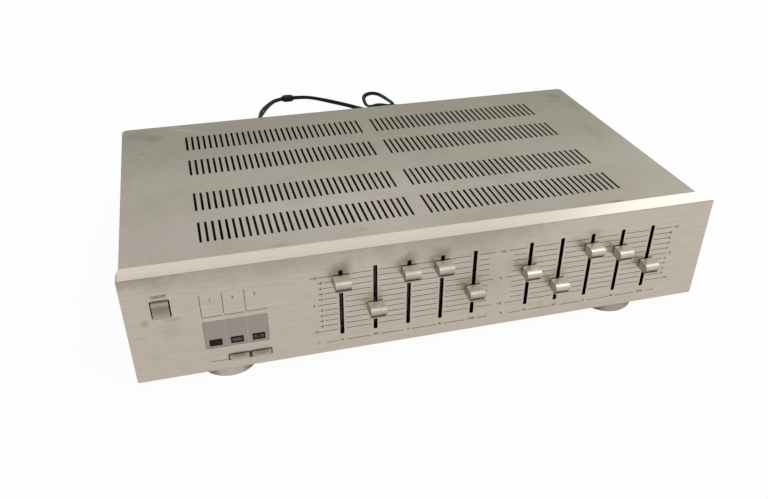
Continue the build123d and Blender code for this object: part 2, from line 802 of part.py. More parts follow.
lead_z = lead_d / 2
sleeve_mid = sleeve[2] / 2
lead_points = [
    (gland_x, gland_end, panel_z + gland_z),
    (gland_x, 166, panel_z + gland_z),
    (57, 188, 27),
    (51, 205, 14),
    (42, 221, 4.4),
    (29, 239, lead_z),
    (9, 257, lead_z),
    (-9, 279, lead_z),
    (-11, 305, lead_z),
    (4, 323, lead_z),
    (28, 322, lead_z),
    (51, 307, lead_z),
    (74, 290, lead_z),
    (100, 280, lead_z),
    (127, 281, lead_z),
    (151, 291, lead_z),
    (168, 309, lead_z),
    (171, 330, lead_z),
    (156, 346, lead_z),
    (133, 351, lead_z),
    (114, 356, lead_z),
    (98, 365.5, lead_z),
    (82.5, 369.5, lead_z),
    (74.5, 380, lead_z),
    (71.3, 392, lead_z),
    (71.8, 403.3, lead_z),
    (76.1, 409.5, lead_z),
    (83.3, 411.8, lead_z),
    (90.5, 409.5, lead_z + 0.2),
    (95, 403.3, lead_z + 0.8),
    (96.3, 390.5, lead_z + 2.4),
    (99, 373, lead_z + 4.8),
    (102, 357, lead_z + 4.8),
    (100, 341, lead_z + 2),
    (87.5, 331.5, lead_z),
    (71, 338.5, lead_z),
    (57, 355.5, lead_z),
    (42.5, 372.5, lead_z),
    (25, 390.5, lead_z),
    (8, 406.5, lead_z + 0.2),
    (-5, sleeve_y, sleeve_mid),
    (sleeve_x, sleeve_y, sleeve_mid),
]
lay_tube(lead_points, lead_d, "signal_lead")

# ---- splitter sleeve and the two tails ----
with BuildPart() as splitter_sleeve:
    with BuildSketch(Plane.XY):
        with Locations((sleeve_x, sleeve_y)):
            Rectangle(sleeve[0], sleeve[1], align=(Align.MAX, Align.CENTER))
    extrude(amount=sleeve[2])
    fillet(splitter_sleeve.edges().filter_by(Axis.Z), sleeve_r)
    fillet(splitter_sleeve.faces().sort_by(Axis.Z)[-1].edges(), sleeve_r)
keep(splitter_sleeve, "splitter_sleeve")

tail_z = tail_d / 2
tails_x = sleeve_x - sleeve[0]
left_tail = [
    (tails_x, sleeve_y + tail_pitch / 2, sleeve_mid),
    (-44.5, sleeve_y + tail_pitch / 2, sleeve_mid),
    (-54, 405.5, 1.5),
    (-62.8, 391, tail_z),
    (-69, 374.5, tail_z),
    (-72, 357, tail_z),
    (-79, 340, tail_z),
    (-91, 325, 2.2),
    (-103, 311, plug_r),
    (-113, 298, plug_r),
]
right_tail = [
    (tails_x, sleeve_y - tail_pitch / 2, sleeve_mid),
    (-43, sleeve_y - tail_pitch / 2, sleeve_mid),
    (-51.5, 402, 1.5),
    (-58.3, 388.5, tail_z),
    (-64.3, 374, tail_z),
    (-68.3, 357, tail_z),
    (-66, 339, tail_z),
    (-59.5, 321.5, 2.2),
    (-53, 304, plug_r),
    (-50, 288, plug_r),
]
lay_tube(left_tail, tail_d, "tail_left")
lay_tube(right_tail, tail_d, "tail_right")

# ---- phono plugs, lying on the same surface as the feet ----
plug_seats = []
for points, name in ((left_tail, "plug_left"), (right_tail, "plug_right")):
    seat = Plane(origin=points[-1], z_dir=Vector(*points[-1]) - Vector(*points[-2]))
    plug_seats.append(seat)
    with BuildPart() as plug:
        with Locations(seat):
            Cone(
                plug_neck_r,
                plug_r - edge_r,
                plug_neck_l,
                align=(Align.CENTER, Align.CENTER, Align.MIN),
            )
        with BuildSketch(seat.offset(plug_neck_l)):
            Circle(plug_r)
        extrude(amount=plug_l)
    keep(plug, name)

with BuildPart() as plug_contacts:
    for seat in plug_seats:
        with BuildSketch(seat.offset(plug_neck_l + plug_l)):
            Circle(plug_shell_r)
            Circle(plug_shell_r - edge_r, mode=Mode.SUBTRACT)
        extrude(amount=plug_shell_l)
        with BuildSketch(seat.offset(plug_neck_l + plug_l)):
            Circle(plug_pin_r)
        extrude(amount=plug_pin_l)
keep(plug_contacts, "plug_contacts")
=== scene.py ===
import math

import bmesh
import bpy
from bpy.props import FloatProperty, FloatVectorProperty, PointerProperty
from mathutils import Matrix, Vector


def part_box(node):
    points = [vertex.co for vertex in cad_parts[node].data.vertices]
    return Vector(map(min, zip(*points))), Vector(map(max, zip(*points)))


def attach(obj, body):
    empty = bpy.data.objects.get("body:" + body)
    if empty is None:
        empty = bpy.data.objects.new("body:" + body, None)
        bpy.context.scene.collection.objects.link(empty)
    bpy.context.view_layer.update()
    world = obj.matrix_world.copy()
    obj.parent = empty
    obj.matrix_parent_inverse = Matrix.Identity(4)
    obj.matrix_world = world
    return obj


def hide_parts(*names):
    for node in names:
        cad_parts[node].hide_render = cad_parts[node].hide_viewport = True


# Dressing of a ten-band slider graphic equalizer. The frame holds its pieces at their real size;
# this file gives each one its finish and adds what is printed, moulded, felted and turned.

bl_info = {
    "name": "Graphic equalizer dressing",
    "version": (1, 0, 0),
    "blender": (4, 5, 0),
    "location": "3D View > Sidebar > Equalizer",
    "description": "Finishes, printing, knobs, feet, fittings and lead of a slider graphic equalizer",
    "category": "Object",
}

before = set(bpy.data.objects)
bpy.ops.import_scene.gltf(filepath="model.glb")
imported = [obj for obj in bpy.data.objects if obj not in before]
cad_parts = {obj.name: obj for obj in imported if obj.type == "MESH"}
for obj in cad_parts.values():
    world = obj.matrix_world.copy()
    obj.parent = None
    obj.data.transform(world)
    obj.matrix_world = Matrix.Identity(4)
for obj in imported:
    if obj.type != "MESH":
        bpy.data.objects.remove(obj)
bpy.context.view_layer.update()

MM = 0.001
SUNK = 0.01 * MM  # how far printed and laid-on work reaches into the face behind it
BANDS = ("60", "250", "1k", "4k", "12k")
CHANNELS = {"l": "left", "r": "right"}
UPRIGHT = Matrix.Rotation(math.radians(90), 4, "X")  # turns flat work to stand on the front face
BEHIND = Matrix.Rotation(math.radians(180), 4, "Z") @ UPRIGHT  # turns flat work to face backwards


# ---- places read from the frame ----
def middle(node):
    """The middle of a CAD node's box."""
    low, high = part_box(node)
    return (low + high) / 2


panel_low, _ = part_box("front_panel")
cover_low, cover_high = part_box("top_cover")
_, rear_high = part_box("rear_panel")
face_y = panel_low.y
panel_z = panel_low.z
slot_xs = {c + b: middle(f"lever_{c}{b}").x for c in CHANNELS for b in BANDS}
slider_mid = middle("slide_pots_left").z
scale_mid = slider_mid - panel_z + 0.4 * MM  # the printed scale sits a little above the slots' middle


# ---- colours ----
def ink(*rgb):
    """A colour given as it looks, 0 to 255, as the linear numbers that a shader takes."""
    linear = [v / 255 / 12.92 if v <= 10 else ((v / 255 + 0.055) / 1.055) ** 2.4 for v in rgb]
    return (*linear, 1.0)


def toned(base, factor, lift=0.0):
    """A colour made darker or paler by a factor, then lifted towards white."""
    return (*(v * factor + lift for v in base[:3]), 1.0)


# ---- what a user would change ----
def colour(name, description, *rgb):
    """A colour to choose, with its default as it looks."""
    return FloatVectorProperty(
        name=name, description=description, size=4, min=0, max=1, subtype="COLOR", default=ink(*rgb)
    )


def length(name, description, millimetres):
    """A length to choose, with its default in millimetres."""
    return FloatProperty(
        name=name, description=description, unit="LENGTH", precision=5, default=millimetres * MM
    )


def angle(name, description, degrees):
    """An angle to choose, with its default in degrees."""
    return FloatProperty(
        name=name, description=description, unit="ROTATION", subtype="ANGLE",
        default=math.radians(degrees),
    )


def level(name, description, default):
    """A brightness to choose."""
    return FloatProperty(name=name, description=description, min=0, default=default)


class StudioSettings(bpy.types.PropertyGroup):
    """Camera, lamps and floor"""

    camera_place: FloatVectorProperty(
        name="Camera place", description="Where the camera stands", subtype="TRANSLATION",
        unit="LENGTH", default=(-0.16077, -0.57068, 0.3682),
    )
    camera_azimuth: angle("Azimuth", "Heading of the camera round the object", -15.3)
    camera_elevation: angle("Elevation", "Height of the camera above the horizon", 33.99)
    camera_roll: angle("Roll", "Tilt of the camera about its own line of sight", 0.18)
    lens: FloatProperty(
        name="Lens", description="Focal length on a 36 mm sensor", unit="CAMERA", default=36.09
    )
    shift_x: FloatProperty(name="Shift X", description="Sideways lens shift", default=-0.0019)
    shift_y: FloatProperty(name="Shift Y", description="Upward lens shift", default=0.0472)
    key_level: level("Key level", "Brightness of the soft lamp above the front", 9.8)
    back_level: level("Back level", "Brightness of the soft lamp behind, to the right", 1.35)
    sky_level: level("Sky level", "Brightness of the even light from all round", 0.5)
    floor_colour: colour("Floor", "Colour of the floor", 234, 233, 230)


class Finishes(bpy.types.PropertyGroup):
    """Colours of the finishes that show, and of painted shade and highlight"""

    face_dark: colour("Face, dark grain", "Darker streaks of the brushed face", 194, 183, 171)
    face_light: colour("Face, light grain", "Lighter streaks of the brushed face", 212, 202, 191)
    # Painted highlight: the strip is the face's own metal, made lighter for the bright reflection it
    # catches.
    strip_highlight: colour("Top strip", "The flat strip above the face", 211, 201, 187)
    # Painted shade: this tint darkens the face's top band, its middle and its rounded top edge.
    face_shade: colour("Face, dulled", "The face where hands have dulled it", 150, 141, 128)
    cover_paint: colour("Cover", "Metallic paint of the cover", 184, 176, 165)
    # A darker, yellower tone of the paint, laid in random patches and along the back, the right side and
    # the rear corners.
    cover_dark_tone: colour("Cover, aged", "The paint where it has yellowed", 136, 131, 111)
    # Painted shade: the walls of the vents are coloured dark for the shade inside them.
    vent_shade: colour("Vent walls", "Bare cut edges of the vents", 62, 46, 30)
    # Grease and handling marks; the same tint also paints shade on knobs, buttons and feet, and the
    # knobs' shadow and reflection on the face.
    grime_and_shade: colour("Grime", "Grease and handling marks", 104, 98, 80)
    silver: colour("Knobs", "Metallised plastic of the slider knobs", 192, 185, 173)
    button_silver: colour("Buttons", "Metallised plastic of the buttons", 190, 180, 168)
    printing: colour("Printing", "Ink of the scales and numbers", 44, 36, 28)
    window_tint: colour("Window", "Tinted plastic of the window", 170, 158, 148)
    window_rib: colour("Window ribs", "Pale ribs between the window's fields", 190, 180, 171)
    legend_black: colour("Legend plates", "Black plates behind the window", 32, 24, 20)
    pale_mark: colour("Pale marks", "Pale marks on black pieces", 132, 122, 112)
    foot_silver: colour("Feet", "Metallised plastic of the feet", 210, 203, 195)
    rear_paint: colour("Rear panel", "Black paint of the rear panel", 34, 34, 35)
    vinyl: colour("Lead", "Black vinyl of the lead and its mouldings", 18, 19, 19)


class PrintSizes(bpy.types.PropertyGroup):
    """Sizes of the printing on the face"""

    ink_t: length("Ink thickness", "Height of the printing above the metal", 0.03)
    line_w: length("Line width", "Width of the printed lines", 0.42)
    rule_w: length("Rule width", "Width of the brackets beside the window", 0.42)
    digit_h: length("Number height", "Height of the printed numbers", 1.9)
    scale_step: length("Scale step", "Distance between the lines of a slider scale", 4.66)
    slot_clear: length("Gap at slots", "Half of the gap in each scale line round a slot", 2.9)


class KnobSizes(bpy.types.PropertyGroup):
    """Sizes of the moulded knobs and the power button"""

    edge_r: length("Edge", "Rounding of the side edges of knobs and buttons", 0.35)
    lip: length("Lip", "Thickness of the lip under a slider knob's nose", 0.9)
    scoop: length("Scoop", "Hollow of the power button's front", 1.2)


class LeadSizes(bpy.types.PropertyGroup):
    """Sizes of the lead and its tails"""

    twin_w: length("Twin width", "Width of the flat twin lead", 5.4)
    twin_t: length("Twin thickness", "Thickness of each strand of the twin lead", 2.9)
    lead_length: length("Lead length", "Length of the twin lead, gland to splitter", 792)
    tail_d: length("Tail diameter", "Diameter of each single lead after the splitter", 3.2)
    left_length: length("Left tail", "Length of the left tail", 148)
    right_length: length("Right tail", "Length of the right tail", 140)


# ---- mesh helpers ----
def piece_from(bm, name, material, body="chassis", bevel=0.0, replaced=(), angle_limit=35):
    """Make a piece of a finished bmesh: its finish, soft shading, optional bevel and body."""
    bmesh.ops.recalc_face_normals(bm, faces=bm.faces)
    mesh = bpy.data.meshes.new(name)
    bm.to_mesh(mesh)
    bm.free()
    mesh.shade_smooth()
    mesh.materials.append(material)
    piece = bpy.data.objects.new(name, mesh)
    bpy.context.scene.collection.objects.link(piece)
    if bevel:
        rounding = piece.modifiers.new("rounded edges", "BEVEL")
        rounding.width = bevel
        rounding.segments = 3
        rounding.limit_method = "ANGLE"
        rounding.angle_limit = math.radians(angle_limit)
        rounding.harden_normals = True
    else:
        mesh.set_sharp_from_angle(angle=math.radians(angle_limit))
    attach(piece, body)
    if replaced:
        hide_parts(*replaced)
    return piece


def loft(bm, rings, closed_ends=True):
    """Skin a row of rings, each a list of points with the same count."""
    rows = [[bm.verts.new(p) for p in ring] for ring in rings]
    for one, two in zip(rows, rows[1:]):
        count = len(one)
        for i in range(count):
            j = (i + 1) % count
            bm.faces.new((one[i], one[j], two[j], two[i]))
    if closed_ends:
        bm.faces.new(reversed(rows[0]))
        bm.faces.new(rows[-1])


def skin_loop(bm, rings):
    """Skin a row of rings that leads back to the first one."""
    loft(bm, [*rings, rings[0]], closed_ends=False)
    bmesh.ops.remove_doubles(bm, verts=bm.verts, dist=0.001 * MM)


def square_section(inner, outer, near, far):
    """The corners of a square section, as (reach, depth)."""
    return (inner, near), (outer, near), (outer, far), (inner, far)


def slab(bm, low, high):
    """A box between two corners."""
    low, high = Vector(low), Vector(high)
    place = Matrix.Translation((low + high) / 2) @ Matrix.Diagonal((*(high - low), 1))
    bmesh.ops.create_cube(bm, size=1, matrix=place)


def axes_about(axis):
    """Three directions at right angles to each other, the first along an axis."""
    along = Vector(axis).normalized()
    side = along.orthogonal().normalized()
    return along, side, along.cross(side)


def turns(count):
    """Evenly spaced angles round a full turn."""
    return [2 * math.pi * i / count for i in range(count)]


def spoke(side, up, turned):
    """A direction turned from side towards up."""
    return side * math.cos(turned) + up * math.sin(turned)


def turned_rings(profile, start, axis, count):
    """Rings round an axis from start, for a profile of (distance along it, radius) in millimetres."""
    along, side, up = axes_about(axis)
    rings = []
    for distance, radius in profile:
        centre = Vector(start) + along * distance * MM
        rings.append([centre + spoke(side, up, turned) * radius * MM for turned in turns(count)])
    return rings


def write(bm, text, place, height, facing, depth):
    """Add thin solid numbers or letters in the built-in typeface, about the middle of what they say."""
    data = bpy.data.curves.new("characters", "FONT")
    data.body = text
    data.size = height / 0.69  # a capital takes up this share of the typeface's size
    data.extrude = depth / 2
    data.align_x = "CENTER"
    data.resolution_u = 3
    data.offset = 0.035 * height  # a little bolder than the typeface is
    shape = bpy.data.objects.new("characters", data)
    mesh = bpy.data.meshes.new_from_object(shape)
    mesh.transform(Matrix.Translation((0, -height / 2, 0)))
    mesh.transform(Matrix.Translation(place) @ facing)
    bm.from_mesh(mesh)
    bpy.data.meshes.remove(mesh)
    bpy.data.objects.remove(shape)
    bpy.data.curves.remove(data)


def spline_curve(name, route):
    """A smooth curve object led by a route's points."""
    data = bpy.data.curves.new(name, "CURVE")
    data.dimensions = "3D"
    data.resolution_u = 8
    spline = data.splines.new("NURBS")
    spline.points.add(len(route) - 1)
    for point, place in zip(spline.points, route):
        point.co = (*place, 1.0)
    spline.order_u = 3
    spline.use_endpoint_u = True
    spline.resolution_u = 8
    curve = bpy.data.objects.new(name, data)
    bpy.context.scene.collection.objects.link(curve)
    return curve


# ---- node helpers ----
def feed(tree, socket, value):
    """Link a socket to another one, or set it to a plain value."""
    if isinstance(value, bpy.types.NodeSocket):
        tree.links.new(value, socket)
    else:
        socket.default_value = value


def add(tree, kind, inputs=None, **settings):
    """A shader node with its settings and inputs; an input is named, or numbered where names repeat."""
    made = tree.nodes.new("ShaderNode" + kind)
    for key, value in settings.items():
        setattr(made, key, value)
    for key, value in (inputs or {}).items():
        feed(tree, made.inputs[key], value)
    return made


def maths(tree, operation, *values, clamp=False):
    """The result of a maths node on sockets or numbers."""
    inputs = dict(enumerate(values))
    return add(tree, "Math", inputs, operation=operation, use_clamp=clamp).outputs[0]


def vector_maths(tree, operation, *values):
    """The result of a vector maths node: a number for a length or a dot product, else a vector."""
    made = add(tree, "VectorMath", dict(enumerate(values)), operation=operation)
    return made.outputs["Value" if operation in ("LENGTH", "DOT_PRODUCT") else "Vector"]


def ramp(tree, value, start, end, top=1.0, **settings):
    """A value's way from start to end, as a number from 0 to top."""
    inputs = {"Value": value, "From Min": start, "From Max": end, "To Max": top}
    return add(tree, "MapRange", inputs, **settings).outputs[0]


def noise(tree, place, scale, detail, roughness=0.5):
    """Noise from 0 to 1."""
    inputs = {"Vector": place, "Scale": scale, "Detail": detail, "Roughness": roughness}
    return add(tree, "TexNoise", inputs).outputs["Fac"]


def object_place(tree):
    """Each point's place in its object."""
    return add(tree, "TexCoord").outputs["Object"]


def lie_of(tree, normal="True Normal"):
    """Which way each point faces and where it is, both as X, Y and Z."""
    geometry = add(tree, "NewGeometry").outputs
    return [add(tree, "SeparateXYZ", {0: geometry[label]}).outputs for label in (normal, "Position")]


def blended(tree, factor, one, two):
    """One colour where factor is 0 and the other where it is 1."""
    return add(tree, "Mix", {0: factor, 6: one, 7: two}, data_type="RGBA").outputs[2]


def scaled(tree, value, factor, offset=0.0):
    """A mask times a factor plus an offset."""
    return maths(tree, "MULTIPLY_ADD", value, factor, offset)


def bumped(tree, height, depth, normal=None):
    """A normal that follows a height; depth is how deep it is in metres."""
    bump = add(tree, "Bump", {"Height": height, "Distance": depth, "Strength": 1.0})
    if normal:
        feed(tree, bump.inputs["Normal"], normal)
    return bump.outputs["Normal"]


def emptied(owner):
    """The empty node tree of a material or a world."""
    owner.use_nodes = True
    owner.node_tree.nodes.clear()
    return owner.node_tree


def new_material(name):
    """A bare material: (material, its tree, the inputs of its Principled BSDF)."""
    material = bpy.data.materials.new(name)
    tree = emptied(material)
    shader = add(tree, "BsdfPrincipled")
    add(tree, "OutputMaterial", {"Surface": shader.outputs["BSDF"]})
    return material, tree, shader.inputs


def coat(tree, shader, base, roughness, normal, metallic=1.0, gloss=0.5):
    """Feed a Principled BSDF what changes over the surface, and set what doesn't."""
    feed(tree, shader["Base Color"], base)
    feed(tree, shader["Roughness"], roughness)
    feed(tree, shader["Normal"], normal)
    shader["Metallic"].default_value = metallic
    shader["Specular IOR Level"].default_value = gloss


# ---- shared effects: each maker fills a shader group and names what comes out ----
def make_grain(group, given):
    """Streaks drawn along an axis: fine ones and broad ones, each from 0 to 1."""
    place = object_place(group)
    made = {}
    for label, factor in (("Fine", (1, 1, 1)), ("Broad", (0.5, 0.3, 0.3))):
        pace = vector_maths(group, "MULTIPLY", given["Frequency"], factor)
        made[label] = noise(group, vector_maths(group, "MULTIPLY", place, pace), 1.0, 3.0)
    return made


def make_wear(group, given):
    """Where edges are rubbed, and a normal that rounds them."""
    rounded = add(group, "Bevel", {"Radius": given["Radius"]}, samples=4).outputs[0]
    facing = add(group, "NewGeometry").outputs["Normal"]
    turned = ramp(group, vector_maths(group, "DOT_PRODUCT", rounded, facing), 1.0, 0.8)
    broken = maths(group, "MULTIPLY", turned, noise(group, object_place(group), 160.0, 4.0))
    return {"Mask": maths(group, "MULTIPLY", broken, given["Amount"], clamp=True), "Normal": rounded}


def make_stain(group, given):
    """One ragged patch round a centre, 1 in its middle and 0 outside."""
    place = object_place(group)
    away = vector_maths(group, "SUBTRACT", place, given["Centre"])
    size = vector_maths(group, "LENGTH", vector_maths(group, "DIVIDE", away, given["Reach"]))
    ragged = maths(group, "MULTIPLY_ADD", noise(group, place, 110.0, 4.0), given["Ragged"], size)
    return {"Mask": ramp(group, ragged, 1.3, 0.4, interpolation_type="SMOOTHSTEP")}


def make_clouds(group, given):
    """Soft uneven patches and sparse specks, for dust, age and handling."""
    place = object_place(group)
    soft = noise(group, place, given["Patch Scale"], 3.0, 0.55)
    fine = noise(group, place, given["Speck Scale"], 1.0)
    return {
        "Patches": ramp(group, soft, 0.35, 0.7),
        "Specks": ramp(group, fine, given["Speck Share"], 0.8),
    }


def make_texture(group, given):
    """The height of a fine moulded or sprayed texture."""
    return {"Height": noise(group, object_place(group), given["Scale"], 2.0, 0.7)}


EFFECTS = {  # its maker, and its inputs with their defaults
    "grain": (make_grain, {"Frequency": (14, 2200, 2200)}),
    "wear": (make_wear, {"Radius": 0.0003, "Amount": 1.0}),
    "stain": (make_stain, {"Centre": (0, 0, 0), "Reach": (0.02, 0.02, 0.02), "Ragged": 0.6}),
    "clouds": (make_clouds, {"Patch Scale": 9.0, "Speck Scale": 420.0, "Speck Share": 0.72}),
    "texture": (make_texture, {"Scale": 4000.0}),
}


def new_effect(name):
    """The shader group of a shared effect, with its named inputs and outputs."""
    maker, inputs = EFFECTS[name]
    group = bpy.data.node_groups.new(name, "ShaderNodeTree")
    for label, default in inputs.items():
        kind = "NodeSocketVector" if isinstance(default, tuple) else "NodeSocketFloat"
        socket = group.interface.new_socket(label, in_out="INPUT", socket_type=kind)
        socket.default_value = default
    made = maker(group, group.nodes.new("NodeGroupInput").outputs)
    end = group.nodes.new("NodeGroupOutput")
    for label, source in made.items():
        kind = "NodeSocketVector" if source.type == "VECTOR" else "NodeSocketFloat"
        group.interface.new_socket(label, in_out="OUTPUT", socket_type=kind)
        group.links.new(source, end.inputs[label])
    return group


def effect(tree, name, **inputs):
    """Place a shared effect in a material with its own values; the group is built once."""
    placed = add(tree, "Group", node_tree=bpy.data.node_groups.get(name) or new_effect(name))
    for key, value in inputs.items():
        feed(tree, placed.inputs[key.replace("_", " ").title()], value)
    return placed.outputs


# ---- finishes ----
DUST = (0.4, 0.37, 0.32, 1)  # its colour, in a shader's linear numbers
FACE_SMUDGES_AND_KNOB_SHADE = (  # x, height above the panel's foot, half width, half height in mm, and strength; those at the left end are smudges, those over the slots are smudges together with a painted reflection and shadow of the knobs
    (-207, 50, 4, 5, 0.28),
    (-189, 50, 10, 3, 0.2),
    (-191, 41, 12, 10, 0.12),
    (-205, 20, 5, 3, 0.14),
    (-211, 38, 7, 3, 0.12),
    (-72.8, 71, 12, 9, 0.45),
    (-47.8, 47, 7, 6, 0.2),
    (-22.8, 72, 10, 8, 0.42),
    (2.2, 72, 10, 8, 0.36),
    (27.2, 46, 9, 6, 0.2),
    (71.1, 54, 9, 7, 0.3),
    (96.1, 40, 9, 6, 0.25),
    (121.1, 71, 9, 7, 0.25),
    (85, 12, 6, 4, 0.2),
)
FACE_SHADES = (  # painted shade: the face darkened along its top and in its middle, given in the same way
    (-205, 90, 45, 18, 0.6),
    (-120, 88, 140, 24, 0.45),
    (20, 88, 100, 30, 0.55),
    (30, 45, 50, 30, 0.2),
)
COVER_STAINS = (  # x, distance behind the face, half width, half depth in mm, and strength
    (-192, 236.5, 14, 14, 0.5),
    (-205, 245, 16, 16, 0.35),
    (-202, 206, 3.5, 1.6, 0.75),
    (201, 245, 9, 12, 0.45),
    (196, 232, 10, 4, 0.5),
    (206, 243, 2.5, 14, 0.5),
    (210, 215, 12, 30, 0.3),
    (198, 150, 12, 30, 0.2),
    (150, 22, 9, 3, 0.75),
    (-50, 30, 8, 2, 0.35),
    (-110, 24, 12, 2, 0.35),
)
COVER_SMEARS = (  # pale marks, given in the same way
    (-172, 257.5, 6, 3.5, 0.3),
    (-166, 251, 6, 3.5, 0.3),
    (-160, 245.5, 6, 3, 0.3),
    (-153, 241.5, 6, 2.5, 0.3),
    (-146, 238, 6, 2, 0.22),
)


def patch(tree, base, tint, strength, centre, reach, ragged=0.6):
    """Lay one ragged patch of a tint over a colour."""
    mask = effect(tree, "stain", centre=centre, reach=reach, ragged=ragged)["Mask"]
    return blended(tree, scaled(tree, mask, strength), base, tint)


def stained(tree, base, stains, tint, lie):
    """Lay a row of patches of one tint over a colour; lie gives the centre and reach of each."""
    for *numbers, strength in stains:
        base = patch(tree, base, tint, strength, *lie(*(v * MM for v in numbers)))
    return base


def on_face(x, height, wide, high):
    """The centre and reach of a patch on the front face."""
    return (x, face_y, panel_z + height), (wide, 10 * MM, high)


def on_cover(x, behind, wide, deep):
    """The centre and reach of a patch on top of the cover."""
    return (x, face_y + behind, cover_high.z), (wide, deep, 20 * MM)


def cut_walls(tree, level_aim, slack, place, spans):
    """A mask of the walls of openings: they face along a sheet, and lie within its spans."""
    mask = maths(tree, "COMPARE", level_aim, 0.0, slack)
    for axis, centre, reach in spans:
        mask = maths(tree, "MULTIPLY", mask, maths(tree, "COMPARE", place[axis], centre, reach))
    return mask


def face_aluminium(finish):
    """Anodised aluminium, brushed from side to side, with a few handling marks, and with painted shade,
    highlight and knob reflections in its colour.
    """
    material, tree, shader = new_material("brushed_face")
    grain = effect(tree, "grain", frequency=(90, 2600, 2600))
    streaks = ramp(tree, maths(tree, "ADD", grain["Fine"], grain["Broad"]), 0.6, 1.4)
    base = blended(tree, streaks, finish.face_dark, finish.face_light)
    # smudges, and the knobs' painted shadow and reflection on the face
    base = stained(tree, base, FACE_SMUDGES_AND_KNOB_SHADE, finish.grime_and_shade, on_face)
    # painted shade along the top and the middle of the face
    base = stained(tree, base, FACE_SHADES, finish.face_shade, on_face)
    aim, place = lie_of(tree)
    # painted highlight: where the face's metal faces up, on the strip, it is lightened for the
    # reflection it catches
    upward_highlight = maths(tree, "GREATER_THAN", aim["Z"], 0.5)
    base = blended(tree, scaled(tree, upward_highlight, 0.75), base, finish.strip_highlight)
    # painted shade on the rounded edge between the strip and the face, which is also made rougher
    edge = maths(tree, "COMPARE", aim["Z"], 0.52, 0.44)
    base = blended(tree, scaled(tree, edge, 0.7), base, finish.face_shade)
    # painted shade: the walls of the slots through the face take the legend plates' black
    spans = (("X", 60 * MM, 150 * MM), ("Z", panel_z + 40 * MM, 35 * MM))
    walls = cut_walls(tree, aim["Y"], 0.3, place, spans)
    base = blended(tree, walls, base, finish.legend_black)
    clouds = effect(tree, "clouds", patch_scale=14.0, speck_scale=600.0, speck_share=0.74)
    base = blended(tree, scaled(tree, clouds["Specks"], 0.2), base, finish.grime_and_shade)
    wear = effect(tree, "wear", radius=0.00012)
    roughness = scaled(tree, edge, 0.3, scaled(tree, grain["Fine"], 0.16, 0.26))
    coat(tree, shader, base, roughness, bumped(tree, grain["Fine"], 0.000012, wear["Normal"]))
    sideways = add(tree, "Tangent", direction_type="RADIAL", axis="X")
    feed(tree, shader["Tangent"], sideways.outputs[0])
    shader["Anisotropic"].default_value = 0.5
    shader["Anisotropic Rotation"].default_value = 0.25
    return material


def end_metal(finish):
    """The end caps: the face's metal, finely blasted."""
    material, tree, shader = new_material("satin_ends")
    patches = effect(tree, "clouds", patch_scale=40.0)["Patches"]
    base = blended(tree, scaled(tree, patches, 0.5), finish.face_light, finish.face_dark)
    grit = effect(tree, "texture", scale=5000.0)["Height"]
    normal = bumped(tree, grit, 0.00001, effect(tree, "wear", radius=0.0003)["Normal"])
    coat(tree, shader, base, scaled(tree, patches, 0.1, 0.38), normal)
    return material


def cover_paint(finish):
    """Metallic paint with fine flakes, darker and yellower towards the back, the right side and the rear
    corners, stained and rubbed, with painted shade in its vents.
    """
    material, tree, shader = new_material("cover_paint")
    flakes = effect(tree, "texture", scale=5200.0)["Height"]
    clouds = effect(tree, "clouds", patch_scale=11.0, speck_scale=260.0, speck_share=0.73)
    dark, light = toned(finish.cover_paint, 0.88), toned(finish.cover_paint, 1.12)
    base = blended(tree, ramp(tree, flakes, 0.3, 0.7), dark, light)
    base = blended(tree, scaled(tree, clouds["Patches"], 0.35), base, finish.cover_dark_tone)
    side, rear, top = cover_high
    for x, y, reach, ragged, strength in (  # darker and yellower along the back, the right side and both rear corners
        (0.02, rear + 0.02, (0.6, 0.2, 0.3), 0.25, 0.72),
        (side + 0.03, -0.02, (0.26, 0.5, 0.3), 0.2, 0.42),
        (-side, rear, (0.12, 0.07, 0.2), 0.4, 0.25),
        (side, rear, (0.12, 0.07, 0.2), 0.4, 0.85),
    ):
        base = patch(tree, base, finish.cover_dark_tone, strength, (x, y, top), reach, ragged)
    base = stained(tree, base, COVER_STAINS, finish.grime_and_shade, on_cover)
    base = stained(tree, base, COVER_SMEARS, finish.face_light, on_cover)
    base = blended(tree, scaled(tree, clouds["Specks"], 0.35), base, finish.grime_and_shade)
    wear = effect(tree, "wear", radius=0.0004, amount=0.7)
    base = blended(tree, wear["Mask"], base, finish.face_light)
    aim, place = lie_of(tree)
    margin = 8 * MM  # the vents keep this far from the cover's edges
    spans = (
        ("X", 0.0, side - margin),
        ("Y", (cover_low.y + rear) / 2, (rear - cover_low.y) / 2 - margin),
    )
    # painted shade on the walls of the vents
    base = blended(tree, cut_walls(tree, aim["Z"], 0.5, place, spans), base, finish.vent_shade)
    normal = bumped(tree, flakes, 0.000008, wear["Normal"])
    coat(tree, shader, base, scaled(tree, clouds["Patches"], 0.1, 0.5), normal, metallic=0.2)
    return material


